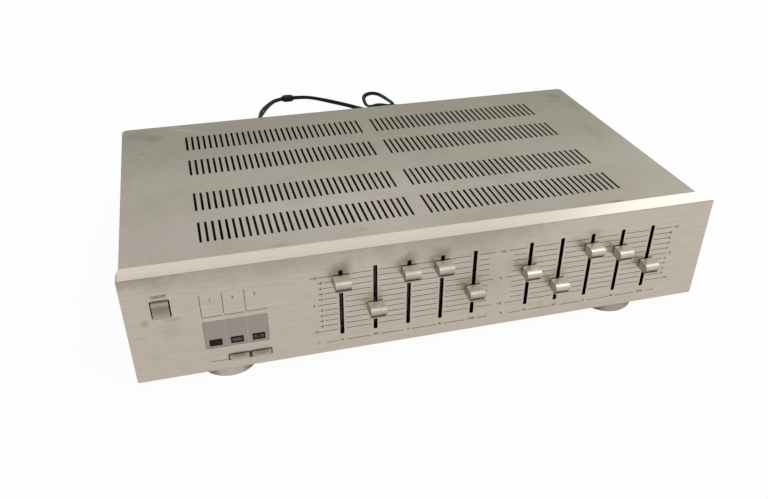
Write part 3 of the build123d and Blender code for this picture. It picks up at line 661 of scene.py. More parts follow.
def silver_plastic(
    name, finish, base, roughness, frequency, metallic=0.45, shades=(), under=0.0, sides=0.0
):
    """Plastic with a drawn silver finish, dulled and specked at random, with painted shade on its sides,
    underneath and in given patches.
    """
    material, tree, shader = new_material(name)
    clouds = effect(tree, "clouds", patch_scale=140.0, speck_scale=900.0, speck_share=0.74)
    dull_and_shade = toned(base, 0.82)
    mixed = blended(tree, scaled(tree, clouds["Patches"], 0.5), base, dull_and_shade)
    mixed = blended(tree, scaled(tree, clouds["Specks"], 0.4), mixed, finish.grime_and_shade)
    # painted shade in the given patches
    for centre, reach, strength in shades:
        mixed = patch(tree, mixed, finish.grime_and_shade, strength, centre, reach, ragged=0.15)
    aim, _ = lie_of(tree, "Normal")
    # painted shade on the faces turned to the left and right
    if sides:
        shaded = ramp(tree, maths(tree, "ABSOLUTE", aim["X"]), 0.35, 0.75, sides)
        mixed = blended(tree, shaded, mixed, toned(finish.grime_and_shade, 0.3))
    # painted shade on the faces that point down
    if under:
        mixed = blended(tree, ramp(tree, aim["Z"], 0.1, -0.8, under), mixed, toned(finish.grime_and_shade, 0.25))
    grain = effect(tree, "grain", frequency=frequency)["Fine"]
    mixed = blended(tree, scaled(tree, grain, 0.3), mixed, dull_and_shade)
    uneven = scaled(tree, clouds["Patches"], 0.08, roughness)
    coat(tree, shader, mixed, uneven, bumped(tree, grain, 0.00001), metallic)
    return material


def moulded(name, base, roughness, depth=0.00002, scale=3500.0, dust=0.15, gloss=0.5):
    """Moulded plastic, vinyl, ink or sprayed paint, with a fine texture and a little dust."""
    material, tree, shader = new_material(name)
    height = effect(tree, "texture", scale=scale)["Height"]
    clouds = effect(tree, "clouds", patch_scale=60.0, speck_scale=700.0, speck_share=0.7)
    mixed = blended(tree, clouds["Patches"], base, toned(base, 1 - dust, 0.35 * dust))
    mixed = blended(tree, scaled(tree, clouds["Specks"], 0.3), mixed, DUST)
    normal = bumped(tree, height, depth, effect(tree, "wear", radius=0.0002)["Normal"])
    coat(tree, shader, mixed, scaled(tree, clouds["Patches"], 0.12, roughness), normal, 0.0, gloss)
    return material


def plated(name, base, roughness, frequency=(60, 60, 900)):
    """Plated steel or brass with a faint grain and duller patches."""
    material, tree, shader = new_material(name)
    grain = effect(tree, "grain", frequency=frequency)["Fine"]
    patches = effect(tree, "clouds", patch_scale=45.0)["Patches"]
    mixed = blended(tree, scaled(tree, patches, 0.6), base, toned(base, 0.7))
    normal = bumped(tree, grain, 0.000008, effect(tree, "wear", radius=0.0002)["Normal"])
    coat(tree, shader, mixed, scaled(tree, grain, 0.15, roughness), normal)
    return material


def felt(name, base):
    """Dense black felt that swallows light."""
    material, tree, shader = new_material(name)
    fibre = effect(tree, "texture", scale=2500.0)["Height"]
    mixed = blended(tree, fibre, base, toned(base, 2, 0.004))
    coat(tree, shader, mixed, scaled(tree, fibre, 0.1, 0.9), bumped(tree, fibre, 0.0001), 0.0, 0.1)
    return material


def paint_nodes(material, *nodes):
    """Give CAD nodes their finish."""
    for node in nodes:
        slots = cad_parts[node].data.materials
        slots.clear()
        slots.append(material)


# ---- front panel, its printing and the dust felts ----
SCALE = ("+10", "+8", "+6", "+4", "+2", "0", "−2", "−4", "−6", "−8", "−10")
SCALE_LINES = {  # ends of a channel's long lines, which are every fifth one, and of its short ones; mm
    "l": ((-90.0, 43.0), (-85.5, 38.8)),
    "r": ((53.5, 188.0), (57.8, 185.5)),
}
SCALE_NUMBERS = ((-92.4, 48.9, 191.4), (-87.8, 187.4))  # beside the long lines, and the short ones; mm
BAND_NAMES = ("60", "250", "1k", "4k", "12.5k")
BAND_RULES = {  # ends of the rules between the band names; mm
    "l": ((-85, -75.5), (-69.3, -51.5), (-43.5, -26), (-20, -0.5), (5.5, 22), (32, 39.5)),
    "r": ((58, 68.5), (74.5, 93), (101, 118.5), (124.5, 143.5), (149.5, 166.5), (177, 183.5)),
}


def printed_bar(bm, sizes, x, height, wide, high):
    """A printed bar on the face, about its middle; height is above the panel's foot."""
    z = panel_z + height
    start = (x - wide / 2, face_y - sizes.ink_t, z - high / 2)
    slab(bm, start, (x + wide / 2, face_y + SUNK, z + high / 2))


def print_face(bm, sizes, text, x, height, tall=None):
    """Numbers or letters on the face; x and height are the middle of what is written."""
    place = (x, face_y - sizes.ink_t / 2, panel_z + height)
    write(bm, text, place, tall or sizes.digit_h, UPRIGHT, sizes.ink_t)


def print_scales(bm, sizes):
    """Eleven lines across each channel's sliders, broken round every slot, and their decibels."""
    for i, text in enumerate(SCALE):
        height = scale_mid + (5 - i) * sizes.scale_step
        short = i % 5 > 0
        for x in SCALE_NUMBERS[short]:
            print_face(bm, sizes, text, x * MM, height)
        for channel, ends in SCALE_LINES.items():
            start, end = ends[short]
            stops = [start * MM]
            for band in BANDS:
                x = slot_xs[channel + band]
                stops += [x - sizes.slot_clear, x + sizes.slot_clear]
            stops.append(end * MM)
            for left, right in zip(stops[::2], stops[1::2]):
                printed_bar(bm, sizes, (left + right) / 2, height, right - left, sizes.line_w)


def print_bands(bm, sizes):
    """The middle frequency under each slot, with short rules between them, and the channels' letters."""
    for channel, rules in BAND_RULES.items():
        for band, text in zip(BANDS, BAND_NAMES):
            print_face(bm, sizes, text, slot_xs[channel + band], 10 * MM, 1.75 * MM)
        for left, right in rules:
            x, wide = (left + right) / 2 * MM, (right - left) * MM
            printed_bar(bm, sizes, x, 9.3 * MM, wide, sizes.line_w)
        printed_bar(bm, sizes, rules[-1][1] * MM, 10 * MM, sizes.line_w, 1.6 * MM)
    print_face(bm, sizes, "L", -90.3 * MM, 10.4 * MM)
    print_face(bm, sizes, "R", 51.8 * MM, 10.4 * MM)


def print_brackets(bm, sizes):
    """Three brackets that lead from their numbers to the window's fields, and what is by the buttons."""
    rule = sizes.rule_w
    bend, top, foot = 1.5 * MM, 66 * MM, 47.5 * MM
    section = square_section(bend - rule / 2, bend + rule / 2, face_y - sizes.ink_t, face_y + SUNK)
    centre_z = panel_z + foot + bend
    for text, left, right in (("1", -169.9, -156.5), ("2", -154.9, -141.0), ("3", -139.9, -125.5)):
        x, end = left * MM, right * MM
        printed_bar(bm, sizes, x, (top + foot + bend) / 2, rule, top - foot - bend)
        printed_bar(bm, sizes, (x + bend + end) / 2, foot, end - x - bend, rule)
        rings = []
        for i in range(9):
            turned = math.radians(180 + 90 * i / 8)
            c, d = math.cos(turned), math.sin(turned)
            rings.append([(x + bend + reach * c, y, centre_z + reach * d) for reach, y in section])
        loft(bm, rings)
        print_face(bm, sizes, text, x + 6.9 * MM, 61.3 * MM, 2.1 * MM)
    print_face(bm, sizes, "ON/OFF", -195.5 * MM, 69.7 * MM)
    printed_bar(bm, sizes, -162.2 * MM, 8.6 * MM, 12.5 * MM, sizes.line_w)


def slot_felts(bm, channel):
    """Two strips of felt behind each of a channel's slots."""
    front, back, half = face_y + 2.6 * MM, face_y + 3.2 * MM, 30 * MM
    for band in BANDS:
        x = slot_xs[channel + band]
        for near, far in ((-3.5, -0.95), (0.95, 3.5)):
            low = (x + near * MM, front, slider_mid - half)
            slab(bm, low, (x + far * MM, back, slider_mid + half))


class EQUALIZER_OT_front(bpy.types.Operator):
    """Brush the front panel and its ends, print its scales and line the slots with felt"""

    bl_idname = "equalizer.front"
    bl_label = "Front panel, scales and felts"

    def execute(self, context):
        finish = context.scene.equalizer_finishes
        sizes = context.scene.equalizer_print
        paint_nodes(face_aluminium(finish), "front_panel")
        paint_nodes(end_metal(finish), "panel_end_left", "panel_end_right")
        printing = moulded("dark_printing", finish.printing, 0.5, depth=0.000002, dust=0.05)
        for name, printed in (
            ("printed_scales", print_scales),
            ("printed_band_names", print_bands),
            ("printed_window_brackets", print_brackets),
        ):
            bm = bmesh.new()
            printed(bm, sizes)
            piece_from(bm, name, printing)
        lining = felt("dark_felt", ink(30, 18, 10))
        for channel, hand in CHANNELS.items():
            bm = bmesh.new()
            slot_felts(bm, channel)
            piece_from(bm, f"slot_felts_{hand}", lining, bevel=0.1 * MM)
        return {"FINISHED"}


# ---- slider knobs and levers ----
KNOB_GLOSS_AND_PAINTED_LIGHT = (("l", 0.5, 1.0), ("r", 0.34, 1.16))  # channel, roughness, and how much lighter the finish is; on the right channel this is painted light, for the stronger light on that side


def knob_outline(back, nose, top, bottom, lip, steps=16):
    """A slider knob seen from the side, as (y, z): a half-round nose over a thin lip."""
    radius = (top - bottom) / 2
    neck = nose + 0.7 * MM
    gap = bottom - 0.1 * MM
    ring = [(nose + radius, gap), (neck, gap), (neck, bottom - lip), (back, bottom - lip), (back, top)]
    for i in range(steps + 1):
        turned = math.pi * i / steps
        ring.append((nose + radius * (1 - math.sin(turned)), top - radius * (1 - math.cos(turned))))
    return ring


class EQUALIZER_OT_knobs(bpy.types.Operator):
    """Mould the ten slider knobs and plate their levers"""

    bl_idname = "equalizer.knobs"
    bl_label = "Slider knobs and levers"

    def execute(self, context):
        finish = context.scene.equalizer_finishes
        sizes = context.scene.equalizer_knobs
        bright = plated("bright_lever", ink(190, 188, 182), 0.25, (900, 900, 40))
        for channel, roughness, brightness in KNOB_GLOSS_AND_PAINTED_LIGHT:
            # painted light: the right channel's copy of the finish is lighter; under and sides paint
            # shade underneath and on the side faces
            silver = silver_plastic(
                f"knob_silver_{channel}", finish, toned(finish.silver, brightness), roughness,
                (1800, 30, 30), metallic=0.55, under=0.85, sides=0.25,
            )
            for band in BANDS:
                key = channel + band
                low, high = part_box(f"knob_{key}")
                ring = knob_outline(high.y, low.y, high.z, low.z, sizes.lip)
                bm = bmesh.new()
                loft(bm, [[(x, y, z) for y, z in ring] for x in (low.x, high.x)])
                piece_from(
                    bm, f"slider_knob_{key}", silver, f"slider_{key}",
                    bevel=sizes.edge_r, replaced=[f"knob_{key}"], angle_limit=50,
                )
                paint_nodes(bright, f"lever_{key}")
        return {"FINISHED"}


# ---- buttons ----
BUTTON_BACK = face_y + 3.8 * MM  # where the buttons' heads end and their stems begin


def button_guides(bm):
    """Guides at the ends of the function buttons, and a ribbed one between them."""
    start, left_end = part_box("function_button_left")
    right_start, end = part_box("function_button_right")
    centre = (left_end.x + right_start.x) / 2
    for near, far, deep in (
        (start.x - 0.85 * MM, start.x - 0.2 * MM, 0.8),
        (left_end.x + 0.2 * MM, centre + 0.1 * MM, 1.2),
        (centre, centre + 0.35 * MM, 0.5),
        (end.x + 0.2 * MM, end.x + 0.85 * MM, 0.8),
    ):
        low = (near, face_y + deep * MM, start.z - 0.55 * MM)
        slab(bm, low, (far, face_y + 3.4 * MM, end.z + 0.55 * MM))


def stem(bm, node, half):
    """A button's square stem, from inside its head to the CAD node's end."""
    mid, end = middle(node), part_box(node)[1].y
    low = (mid.x - half, BUTTON_BACK - 0.5 * MM, mid.z - half)
    slab(bm, low, (mid.x + half, end, mid.z + half))


def power_button(silver, sizes, steps=12):
    """A tall button with a front that is hollowed from top to bottom."""
    node = "power_button"
    front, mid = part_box(node)[0].y, middle(node)
    wide, tall = 5.6 * MM, 6.0 * MM
    ring = []
    for i in range(steps + 1):
        height = -1 + 2 * i / steps
        ring.append((front + sizes.scoop * (1 - height**2), mid.z + tall * height))
    ring += [(BUTTON_BACK, mid.z + tall), (BUTTON_BACK, mid.z - tall)]
    bm = bmesh.new()
    loft(bm, [[(mid.x + side * wide, y, z) for y, z in ring] for side in (-1, 1)])
    stem(bm, node, 2.5 * MM)
    piece_from(
        bm, "scooped_power_button", silver, node,
        bevel=sizes.edge_r, replaced=[node], angle_limit=50,
    )


def function_button(hand, silver):
    """A flat button whose front is drawn in a little all round."""
    node = f"function_button_{hand}"
    low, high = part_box(node)
    mid = middle(node)
    draft = 0.15 * MM
    bm = bmesh.new()
    slab(bm, low, (high.x, BUTTON_BACK, high.z))
    for vert in bm.verts:
        if vert.co.y < face_y:
            vert.co.x += math.copysign(draft, mid.x - vert.co.x)
            vert.co.z += math.copysign(draft, mid.z - vert.co.z)
    stem(bm, node, 1.2 * MM)
    name = f"flat_function_button_{hand}"
    piece_from(bm, name, silver, node, bevel=0.4 * MM, replaced=[node])


class EQUALIZER_OT_buttons(bpy.types.Operator):
    """Mould the scooped power button, the two flat function buttons and their guides"""

    bl_idname = "equalizer.buttons"
    bl_label = "Power and function buttons"

    def execute(self, context):
        finish = context.scene.equalizer_finishes
        x, _, z = middle("power_button")
        # painted shade across the hollow front of the power button, where it faces down
        scoop_shade = [
            ((x, face_y, z + rise * MM), (10 * MM, 10 * MM, tall * MM), strength)
            for rise, tall, strength in ((1.2, 3.4, 0.5), (-0.5, 7, 0.4))
        ]
        # painted shadow along the tops of the function buttons
        top_shadows = [
            ((middle(node).x, face_y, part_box(node)[1].z), (7.5 * MM, 10 * MM, 2.4 * MM), 0.75)
            for node in ("function_button_left", "function_button_right")
        ]
        silver, flat_silver = (
            silver_plastic(name, finish, finish.button_silver, 0.36, frequency, shades=shades)
            for name, frequency, shades in (
                ("button_silver", (30, 30, 1500), scoop_shade),
                ("flat_button_silver", (1500, 30, 30), top_shadows),
            )
        )
        brown = moulded("guide_brown", ink(140, 122, 106), 0.6, depth=0.000004, dust=0.1)
        bm = bmesh.new()
        button_guides(bm)
        piece_from(bm, "button_guides", brown)
        power_button(silver, context.scene.equalizer_knobs)
        for hand in CHANNELS.values():
            function_button(hand, flat_silver)
        black = moulded("switch_black", ink(30, 29, 28), 0.4)
        paint_nodes(black, "power_switch", "function_switches")
        return {"FINISHED"}


# ---- window ----
def open_square(bm, x, z, y, outer, inner):
    """A small open square that stands proud of an upright face at y."""
    section = square_section(inner, outer, y - 0.05 * MM, y + SUNK)
    corners = ((-1, -1), (1, -1), (1, 1), (-1, 1))
    skin_loop(bm, [[(x + side * r, d, z + rise * r) for r, d in section] for side, rise in corners])


class EQUALIZER_OT_window(bpy.types.Operator):
    """Tint the indicator window and mark its three fields"""

    bl_idname = "equalizer.window"
    bl_label = "Indicator window"

    def execute(self, context):
        finish = context.scene.equalizer_finishes
        window = moulded("window_plastic", finish.window_tint, 0.35, depth=0.000004, dust=0.1)
        paint_nodes(window, "indicator_window")
        black = moulded("legend_black", finish.legend_black, 0.5, depth=0.000004, dust=0.0, gloss=0.15)
        paint_nodes(black, "legend_plates")
        ribs = moulded("window_ribs", finish.window_rib, 0.35, depth=0.000004, dust=0.1)
        low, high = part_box("indicator_window")
        bm = bmesh.new()
        for x in (-155.4, -140.6):
            start = ((x - 0.32) * MM, low.y - 0.1 * MM, low.z + 0.6 * MM)
            slab(bm, start, ((x + 0.32) * MM, low.y + 0.1 * MM, high.z - 0.6 * MM))
        piece_from(bm, "window_ribs", ribs, bevel=0.08 * MM)
        pale = moulded("pale_marks", finish.pale_mark, 0.4, depth=0.000002, dust=0.0)
        plate_y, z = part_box("legend_plates")[0].y, middle("legend_plates").z
        outer, inner = 1.0 * MM, 0.64 * MM
        bm = bmesh.new()
        for x in (-150.4, -148.2, -146.0, -135.2, -130.8):
            open_square(bm, x * MM, z, plate_y, outer, inner)
        dash = (-133.6 * MM, plate_y - 0.05 * MM, z - outer)
        slab(bm, dash, (-132.4 * MM, plate_y + SUNK, z - inner))
        piece_from(bm, "legend_marks", pale)
        return {"FINISHED"}


# ---- feet, cover, pan and rear panel ----
def foot_profile(radius, tall):
    """A closed outline as (height, radius) in mm: crowned rim, a groove on top, a recess underneath."""
    return [
        (0.0, 7.0),
        (0.0, radius - 1.6),
        (0.12, radius - 1.0),
        (0.45, radius - 0.4),
        (1.1, radius - 0.05),
        (1.9, radius),
        (tall - 1.0, radius),
        (tall - 0.9, radius - 0.35),
        (tall, radius - 0.35),
        (tall, 2.4),
        (5.0, 2.4),
        (5.0, 6.9),
        (0.3, 7.0),
    ]


class EQUALIZER_OT_feet(bpy.types.Operator):
    """Turn the four feet"""

    bl_idname = "equalizer.feet"
    bl_label = "Feet"

    def execute(self, context):
        finish = context.scene.equalizer_finishes
        # painted shade: the right front foot is darkened, and sides darkens both ends of every foot, for
        # the shade under the case
        dull_and_shade = [(middle("foot_front_right"), (0.05, 0.05, 0.05), 0.45)]
        silver = silver_plastic(
            "foot_silver", finish, finish.foot_silver, 0.34, (25, 25, 1400), shades=dull_and_shade, sides=0.9
        )
        for row in ("front", "rear"):
            for hand in CHANNELS.values():
                node = f"foot_{row}_{hand}"
                low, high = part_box(node)
                mid = (low + high) / 2
                profile = foot_profile((high.x - low.x) / 2 / MM, (high.z - low.z) / MM)
                bm = bmesh.new()
                skin_loop(bm, turned_rings(profile, (mid.x, mid.y, low.z), (0, 0, 1), 96))
                piece_from(bm, f"turned_{node}", silver, replaced=[node], angle_limit=40)
        return {"FINISHED"}


class EQUALIZER_OT_case(bpy.types.Operator):
    """Paint the cover and the rear panel, plate the pan"""

    bl_idname = "equalizer.case"
    bl_label = "Cover, pan and rear panel"

    def execute(self, context):
        finish = context.scene.equalizer_finishes
        paint_nodes(cover_paint(finish), "top_cover")
        paint_nodes(plated("plated_pan", ink(142, 134, 120), 0.5, (12, 900, 900)), "base_pan")
        rear = moulded("rear_black", finish.rear_paint, 0.42, depth=0.00001, scale=2600, dust=0.07)
        paint_nodes(rear, "rear_panel")
        return {"FINISHED"}


# ---- inside ----
class EQUALIZER_OT_inside(bpy.types.Operator):
    """Finish the pieces inside: plate, sliders' cans, boards, chips, capacitors and transformer"""

    bl_idname = "equalizer.inside"
    bl_label = "Pieces inside"

    def execute(self, context):
        sheet = plated("plated_sheet", ink(172, 172, 168), 0.35, (900, 900, 20))
        paint_nodes(sheet, "mounting_plate")
        cans = plated("can_steel", ink(186, 185, 180), 0.3, (900, 900, 30))
        paint_nodes(cans, "slide_pots_left", "slide_pots_right")
        board = moulded("phenolic_board", ink(112, 78, 42), 0.6, depth=0.000008, gloss=0.2)
        paint_nodes(board, "main_board", "slider_board")
        for node, name, base, roughness, settings in (
            ("chips", "chip_black", ink(32, 28, 24), 0.6, {}),
            ("capacitors", "capacitor_sleeve", ink(40, 32, 36), 0.5, {"dust": 0.05}),
            ("transformer_core", "varnished_core", ink(52, 44, 36), 0.5, {"scale": 900}),
            ("transformer_coil", "coil_tape", ink(120, 96, 48), 0.5, {"scale": 1500}),
        ):
            paint_nodes(moulded(name, base, roughness, gloss=0.2, **settings), node)
        return {"FINISHED"}


# ---- rear fittings and screws ----
BACKWARDS = (0, 1, 0)


def screw(bm, start, axis, head_r, head_h, shank_r, shank_l):
    """A domed screw with a cross sunk into its head, and its shank behind; start is under the head."""
    along, side, up = axes_about(axis)
    long = 0.55 * head_r
    thick = long * math.tan(math.radians(15))

    def cross(turned):
        """How far the cross reaches in a direction."""
        c, d = (max(abs(v), 1e-9) for v in (math.cos(turned), math.sin(turned)))
        return max(min(long / c, thick / d), min(thick / c, long / d))

    rings = []
    for distance, reach in (
        (-shank_l, shank_r * 0.8),
        (-shank_l + 0.4 * MM, shank_r),
        (0.0, shank_r),
        (0.0, head_r),
        (0.3 * head_h, head_r),
        (0.68 * head_h, 0.9 * head_r),
        (0.92 * head_h, 0.72 * head_r),
        (head_h, 0.62 * head_r),
        (head_h, None),
        (0.25 * head_h, None),
    ):
        centre = Vector(start) + along * distance
        rings.append([centre + spoke(side, up, v) * (reach or cross(v)) for v in turns(48)])
    loft(bm, rings)


def screw_set(node, steel, starts, *sizes):
    """The screws that stand for a CAD node, each from where its head begins and the way it points."""
    bm = bmesh.new()
    for start, axis in starts:
        screw(bm, start, axis, *sizes)
    piece_from(bm, f"domed_{node}", steel, replaced=[node])


def all_screws(steel):
    """Four screws in the cover's sides, three in the rear panel and one up through each foot."""
    head_r, head_h, shank_r, shank_l = 3.4 * MM, 1.1 * MM, 1.5 * MM, 6 * MM
    low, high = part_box("cover_screws")
    mid = (low + high) / 2
    starts = [
        ((x - side * head_h, y, mid.z), (side, 0, 0))
        for side, x in ((-1, low.x), (1, high.x))
        for y in (low.y + head_r, high.y - head_r)
    ]
    screw_set("cover_screws", steel, starts, head_r, head_h, shank_r, shank_l)
    low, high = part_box("rear_screws")
    mid = (low + high) / 2
    starts = [
        ((x, high.y - head_h, mid.z), BACKWARDS) for x in (low.x + head_r, mid.x, high.x - head_r)
    ]
    screw_set("rear_screws", steel, starts, head_r, head_h, shank_r, shank_l)
    low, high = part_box("foot_screws")
    head_r, head_h, shank_r = 4.0 * MM, 2.5 * MM, 2.0 * MM
    starts = [
        ((x, y, low.z + head_h), (0, 0, -1))
        for x in (low.x + head_r, high.x - head_r)
        for y in (low.y + head_r, high.y - head_r)
    ]
    screw_set("foot_screws", steel, starts, head_r, head_h, shank_r, high.z - low.z - head_h)


def flat_ring(bm, centre, inner, outer, depth):
    """A flat ring that stands proud of a rear face by its depth."""
    along, side, up = axes_about(BACKWARDS)
    section = square_section(inner, outer, -SUNK, depth)
    rings = []
    for turned in turns(32):
        aim = spoke(side, up, turned)
        rings.append([Vector(centre) + aim * reach + along * far for reach, far in section])
    skin_loop(bm, rings)


class EQUALIZER_OT_fittings(bpy.types.Operator):
    """Finish the jacks, mains inlet and screws at the back, the sides and underneath"""

    bl_idname = "equalizer.fittings"
    bl_label = "Rear fittings and screws"

    def execute(self, context):
        paint_nodes(moulded("inlet_black", ink(32, 32, 33), 0.35), "mains_inlet")
        paint_nodes(moulded("jack_board", ink(52, 40, 30), 0.4), "jack_block")
        paint_nodes(plated("plated_shell", ink(200, 198, 192), 0.2, (40, 800, 40)), "jack_shells")
        low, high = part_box("jack_shells")
        barrel_r = 4.15 * MM
        columns = (high.x - barrel_r, (low.x + high.x) / 2, low.x + barrel_r)
        upper, lower = high.z - barrel_r, low.z + barrel_r
        for name, base, z in (("white", ink(214, 210, 200), upper), ("red", ink(168, 30, 26), lower)):
            tint = moulded(f"jack_{name}", base, 0.4, depth=0.000004, dust=0.1)
            bm = bmesh.new()
            for x in columns:
                flat_ring(bm, (x, high.y, z), 2.1 * MM, 3.5 * MM, 0.08 * MM)
            piece_from(bm, f"jack_rings_{name}", tint)
        pin = ((0.0, 1.26), (8.6, 1.26), (9.05, 0.9), (9.15, 0.4))
        mid, inlet_end = middle("mains_inlet"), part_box("mains_inlet")[1].y
        bm = bmesh.new()
        for side in (-1, 1):
            start = (mid.x + side * 4.3 * MM, inlet_end - 12 * MM, mid.z)
            loft(bm, turned_rings(pin, start, BACKWARDS, 24))
        brass = plated("inlet_pins", ink(198, 190, 160), 0.25, (40, 800, 40))
        piece_from(bm, "inlet_pins", brass)
        thin = 0.05 * MM
        bm = bmesh.new()
        for text, x, z in (
            *((str(i + 1), x, high.z + 8 * MM) for i, x in enumerate(columns)),
            ("L", high.x + 8 * MM, upper),
            ("R", high.x + 8 * MM, lower),
        ):
            write(bm, text, (x, rear_high.y + thin / 2, z), 3 * MM, BEHIND, thin)
        white = moulded("rear_printing", ink(196, 194, 186), 0.5, depth=0.000002, dust=0.0)
        piece_from(bm, "rear_numbers", white)
        all_screws(plated("screw_steel", ink(120, 116, 110), 0.3))
        return {"FINISHED"}


# ---- the twin lead, its splitter, tails and plugs ----
LEAD_ROUTE = [  # from the gland to the splitter sleeve, in metres, as the tails' routes are
    (0.060, 0.14535, 0.033), (0.060, 0.166, 0.033), (0.057, 0.188, 0.027),
    (0.051, 0.205, 0.0135), (0.042, 0.221, 0.0035), (0.029, 0.239, 0.00155),
    (0.009, 0.257, 0.00155), (-0.009, 0.279, 0.00155), (-0.011, 0.305, 0.00155),
    (0.004, 0.323, 0.00155), (0.028, 0.322, 0.00155), (0.051, 0.307, 0.00155),
    (0.074, 0.290, 0.00155), (0.100, 0.280, 0.00155), (0.127, 0.281, 0.00155),
    (0.151, 0.291, 0.00155), (0.168, 0.309, 0.00155), (0.171, 0.330, 0.00155),
    (0.156, 0.346, 0.00155), (0.133, 0.351, 0.00155), (0.114, 0.3535, 0.0018),
    (0.098, 0.3560, 0.0020), (0.0855, 0.3650, 0.0021), (0.0765, 0.3612, 0.0023),
    (0.0705, 0.3602, 0.0025), (0.0682, 0.3660, 0.0027), (0.0694, 0.3820, 0.0029),
    (0.0722, 0.3945, 0.0029), (0.0785, 0.4030, 0.0029), (0.0862, 0.4055, 0.0029),
    (0.0930, 0.4005, 0.0029), (0.0968, 0.3890, 0.0032), (0.0990, 0.3740, 0.0042),
    (0.1010, 0.3570, 0.0060), (0.100, 0.341, 0.0038), (0.0875, 0.3315, 0.0029),
    (0.071, 0.3385, 0.0029), (0.057, 0.3555, 0.0029), (0.0425, 0.3725, 0.0029),
    (0.025, 0.3905, 0.0029), (0.008, 0.4065, 0.0029), (-0.005, 0.413, 0.0033),
    (-0.0189, 0.413, 0.0036),
]
LEAD_ROLL = (  # distance along the lead in metres, degrees
    (0.0, 0), (0.505, 0), (0.53, 30), (0.555, 40), (0.57, 25), (0.595, 5),
    (0.62, -12), (0.645, -12), (0.69, -102), (0.74, -102), (0.77, -120), (0.82, -102),
)
LEFT_TAIL = [  # from the sleeve to its plug
    (-0.0342, 0.4151, 0.0034), (-0.0435, 0.4141, 0.0028), (-0.053, 0.4040, 0.0018),
    (-0.0622, 0.390, 0.0017), (-0.0686, 0.3740, 0.0017), (-0.0708, 0.357, 0.0038),
    (-0.079, 0.340, 0.0017), (-0.091, 0.325, 0.0022), (-0.103, 0.311, 0.0046),
    (-0.113, 0.298, 0.0046),
]
RIGHT_TAIL = [  # beside the left one, which lies over it at one place
    (-0.0342, 0.4109, 0.0034), (-0.043, 0.4099, 0.0028), (-0.0515, 0.401, 0.0017),
    (-0.0585, 0.3875, 0.0017), (-0.0650, 0.3725, 0.0017), (-0.0712, 0.357, 0.0017),
    (-0.066, 0.339, 0.0017), (-0.0595, 0.3215, 0.0022), (-0.053, 0.304, 0.0046),
    (-0.050, 0.288, 0.0046),
]


def lead_line():
    """Close points along the twin lead's middle."""
    route = spline_curve("lead_route", LEAD_ROUTE)
    mesh = bpy.data.meshes.new_from_object(route)
    points = [v.co.copy() for v in mesh.vertices]
    bpy.data.meshes.remove(mesh)
    bpy.data.objects.remove(route)
    return points


def roll_at(distance):
    """How far the twin lead is tipped on its edge at a distance along it, in radians."""
    for (before, one), (after, two) in zip(LEAD_ROLL, LEAD_ROLL[1:]):
        if distance <= after:
            share = (distance - before) / (after - before)
            share = share * share * (3 - 2 * share)
            return math.radians(one + (two - one) * share)
    return math.radians(LEAD_ROLL[-1][1])


def twin_section(sizes, steps=9):
    """The outline of two round strands side by side, joined by a web."""
    radius = sizes.twin_t / 2
    offset = sizes.twin_w / 2 - radius
    reach = math.radians(150)
    ring = []
    for side in (1, -1):
        for i in range(steps):
            around = -reach + 2 * reach * i / (steps - 1)
            ring.append((side * (offset + radius * math.cos(around)), side * radius * math.sin(around)))
    return ring


def sweep_twin(bm, points, sizes):
    """A flat twin lead along a line of points, lying flat or tipped as roll_at says."""
    section = twin_section(sizes)
    rings = []
    distance = 0.0
    for i, point in enumerate(points):
        if i:
            distance += (point - points[i - 1]).length
        ahead = points[min(i + 1, len(points) - 1)] - points[max(i - 1, 0)]
        tangent = ahead.normalized()
        across = tangent.cross(Vector((0, 0, 1))).normalized()
        turned = Matrix.Rotation(roll_at(distance), 3, tangent)
        across, up = turned @ across, turned @ across.cross(tangent)
        rings.append([point + across * x + up * y for x, y in section])
    loft(bm, rings)


def make_sleeve(material):
    """The splitter sleeve: a squarish moulding that tapers towards both ends."""
    low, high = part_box("splitter_sleeve")
    mid = (low + high) / 2
    half = (high.y - low.y) / 2 + 0.4 * MM
    rise = 3.6 * MM  # a little fuller than the plain block it stands for, as half and start are
    start = low.x - 1.0 * MM
    rings = []
    for share, wide, tall in (
        (0.0, 0.5, 0.6),
        (0.06, 0.6, 0.72),
        (0.24, 0.98, 0.98),
        (0.32, 1.0, 1.0),
        (0.7, 1.0, 1.0),
        (0.78, 0.97, 0.98),
        (0.95, 0.6, 0.74),
        (1.0, 0.5, 0.66),
    ):
        ring = []
        for turned in turns(32):
            c, d = math.cos(turned), math.sin(turned)
            y = math.copysign(abs(c) ** 0.4, c) * half * wide
            z = math.copysign(abs(d) ** 0.4, d) * rise * tall
            ring.append((start + (high.x - start) * share, mid.y + y, low.z + rise + z))
        rings.append(ring)
    bm = bmesh.new()
    loft(bm, rings)
    return piece_from(bm, "tapered_sleeve", material, replaced=["splitter_sleeve"])


def make_gland(material):
    """The gland: a nut inside, a flange outside, and a boot ringed with grooves."""
    low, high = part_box("lead_gland")
    mid = (low + high) / 2
    wide, neck, wall_in = (high.x - low.x) / 2 / MM, 4.4, 3.0
    wall_out, end = (rear_high.y - low.y) / MM, (high.y - low.y) / MM
    flange = wall_out + 2.5
    profile = [
        (0.0, wide - 0.4), (0.4, wide), (wall_in, wide), (wall_in, neck), (wall_out, neck),
        (wall_out, wide), (flange - 0.5, wide), (flange, wide - 0.5), (flange, neck),
    ]
    grooves = 5
    for i in range(grooves):
        near, far = (flange + (end - flange) * (i + share) / grooves for share in (0.35, 0.7))
        reach = neck - i / grooves
        profile += [
            (near, reach), (near + 0.1, reach - 0.7), (far, reach - 0.7), (far + 0.1, reach - 0.15)
        ]
    profile.append((end, 3.1))
    bm = bmesh.new()
    loft(bm, turned_rings(profile, (mid.x, low.y, mid.z), BACKWARDS, 48))
    return piece_from(
        bm, "ribbed_gland", material, replaced=["lead_gland"], angle_limit=30
    )


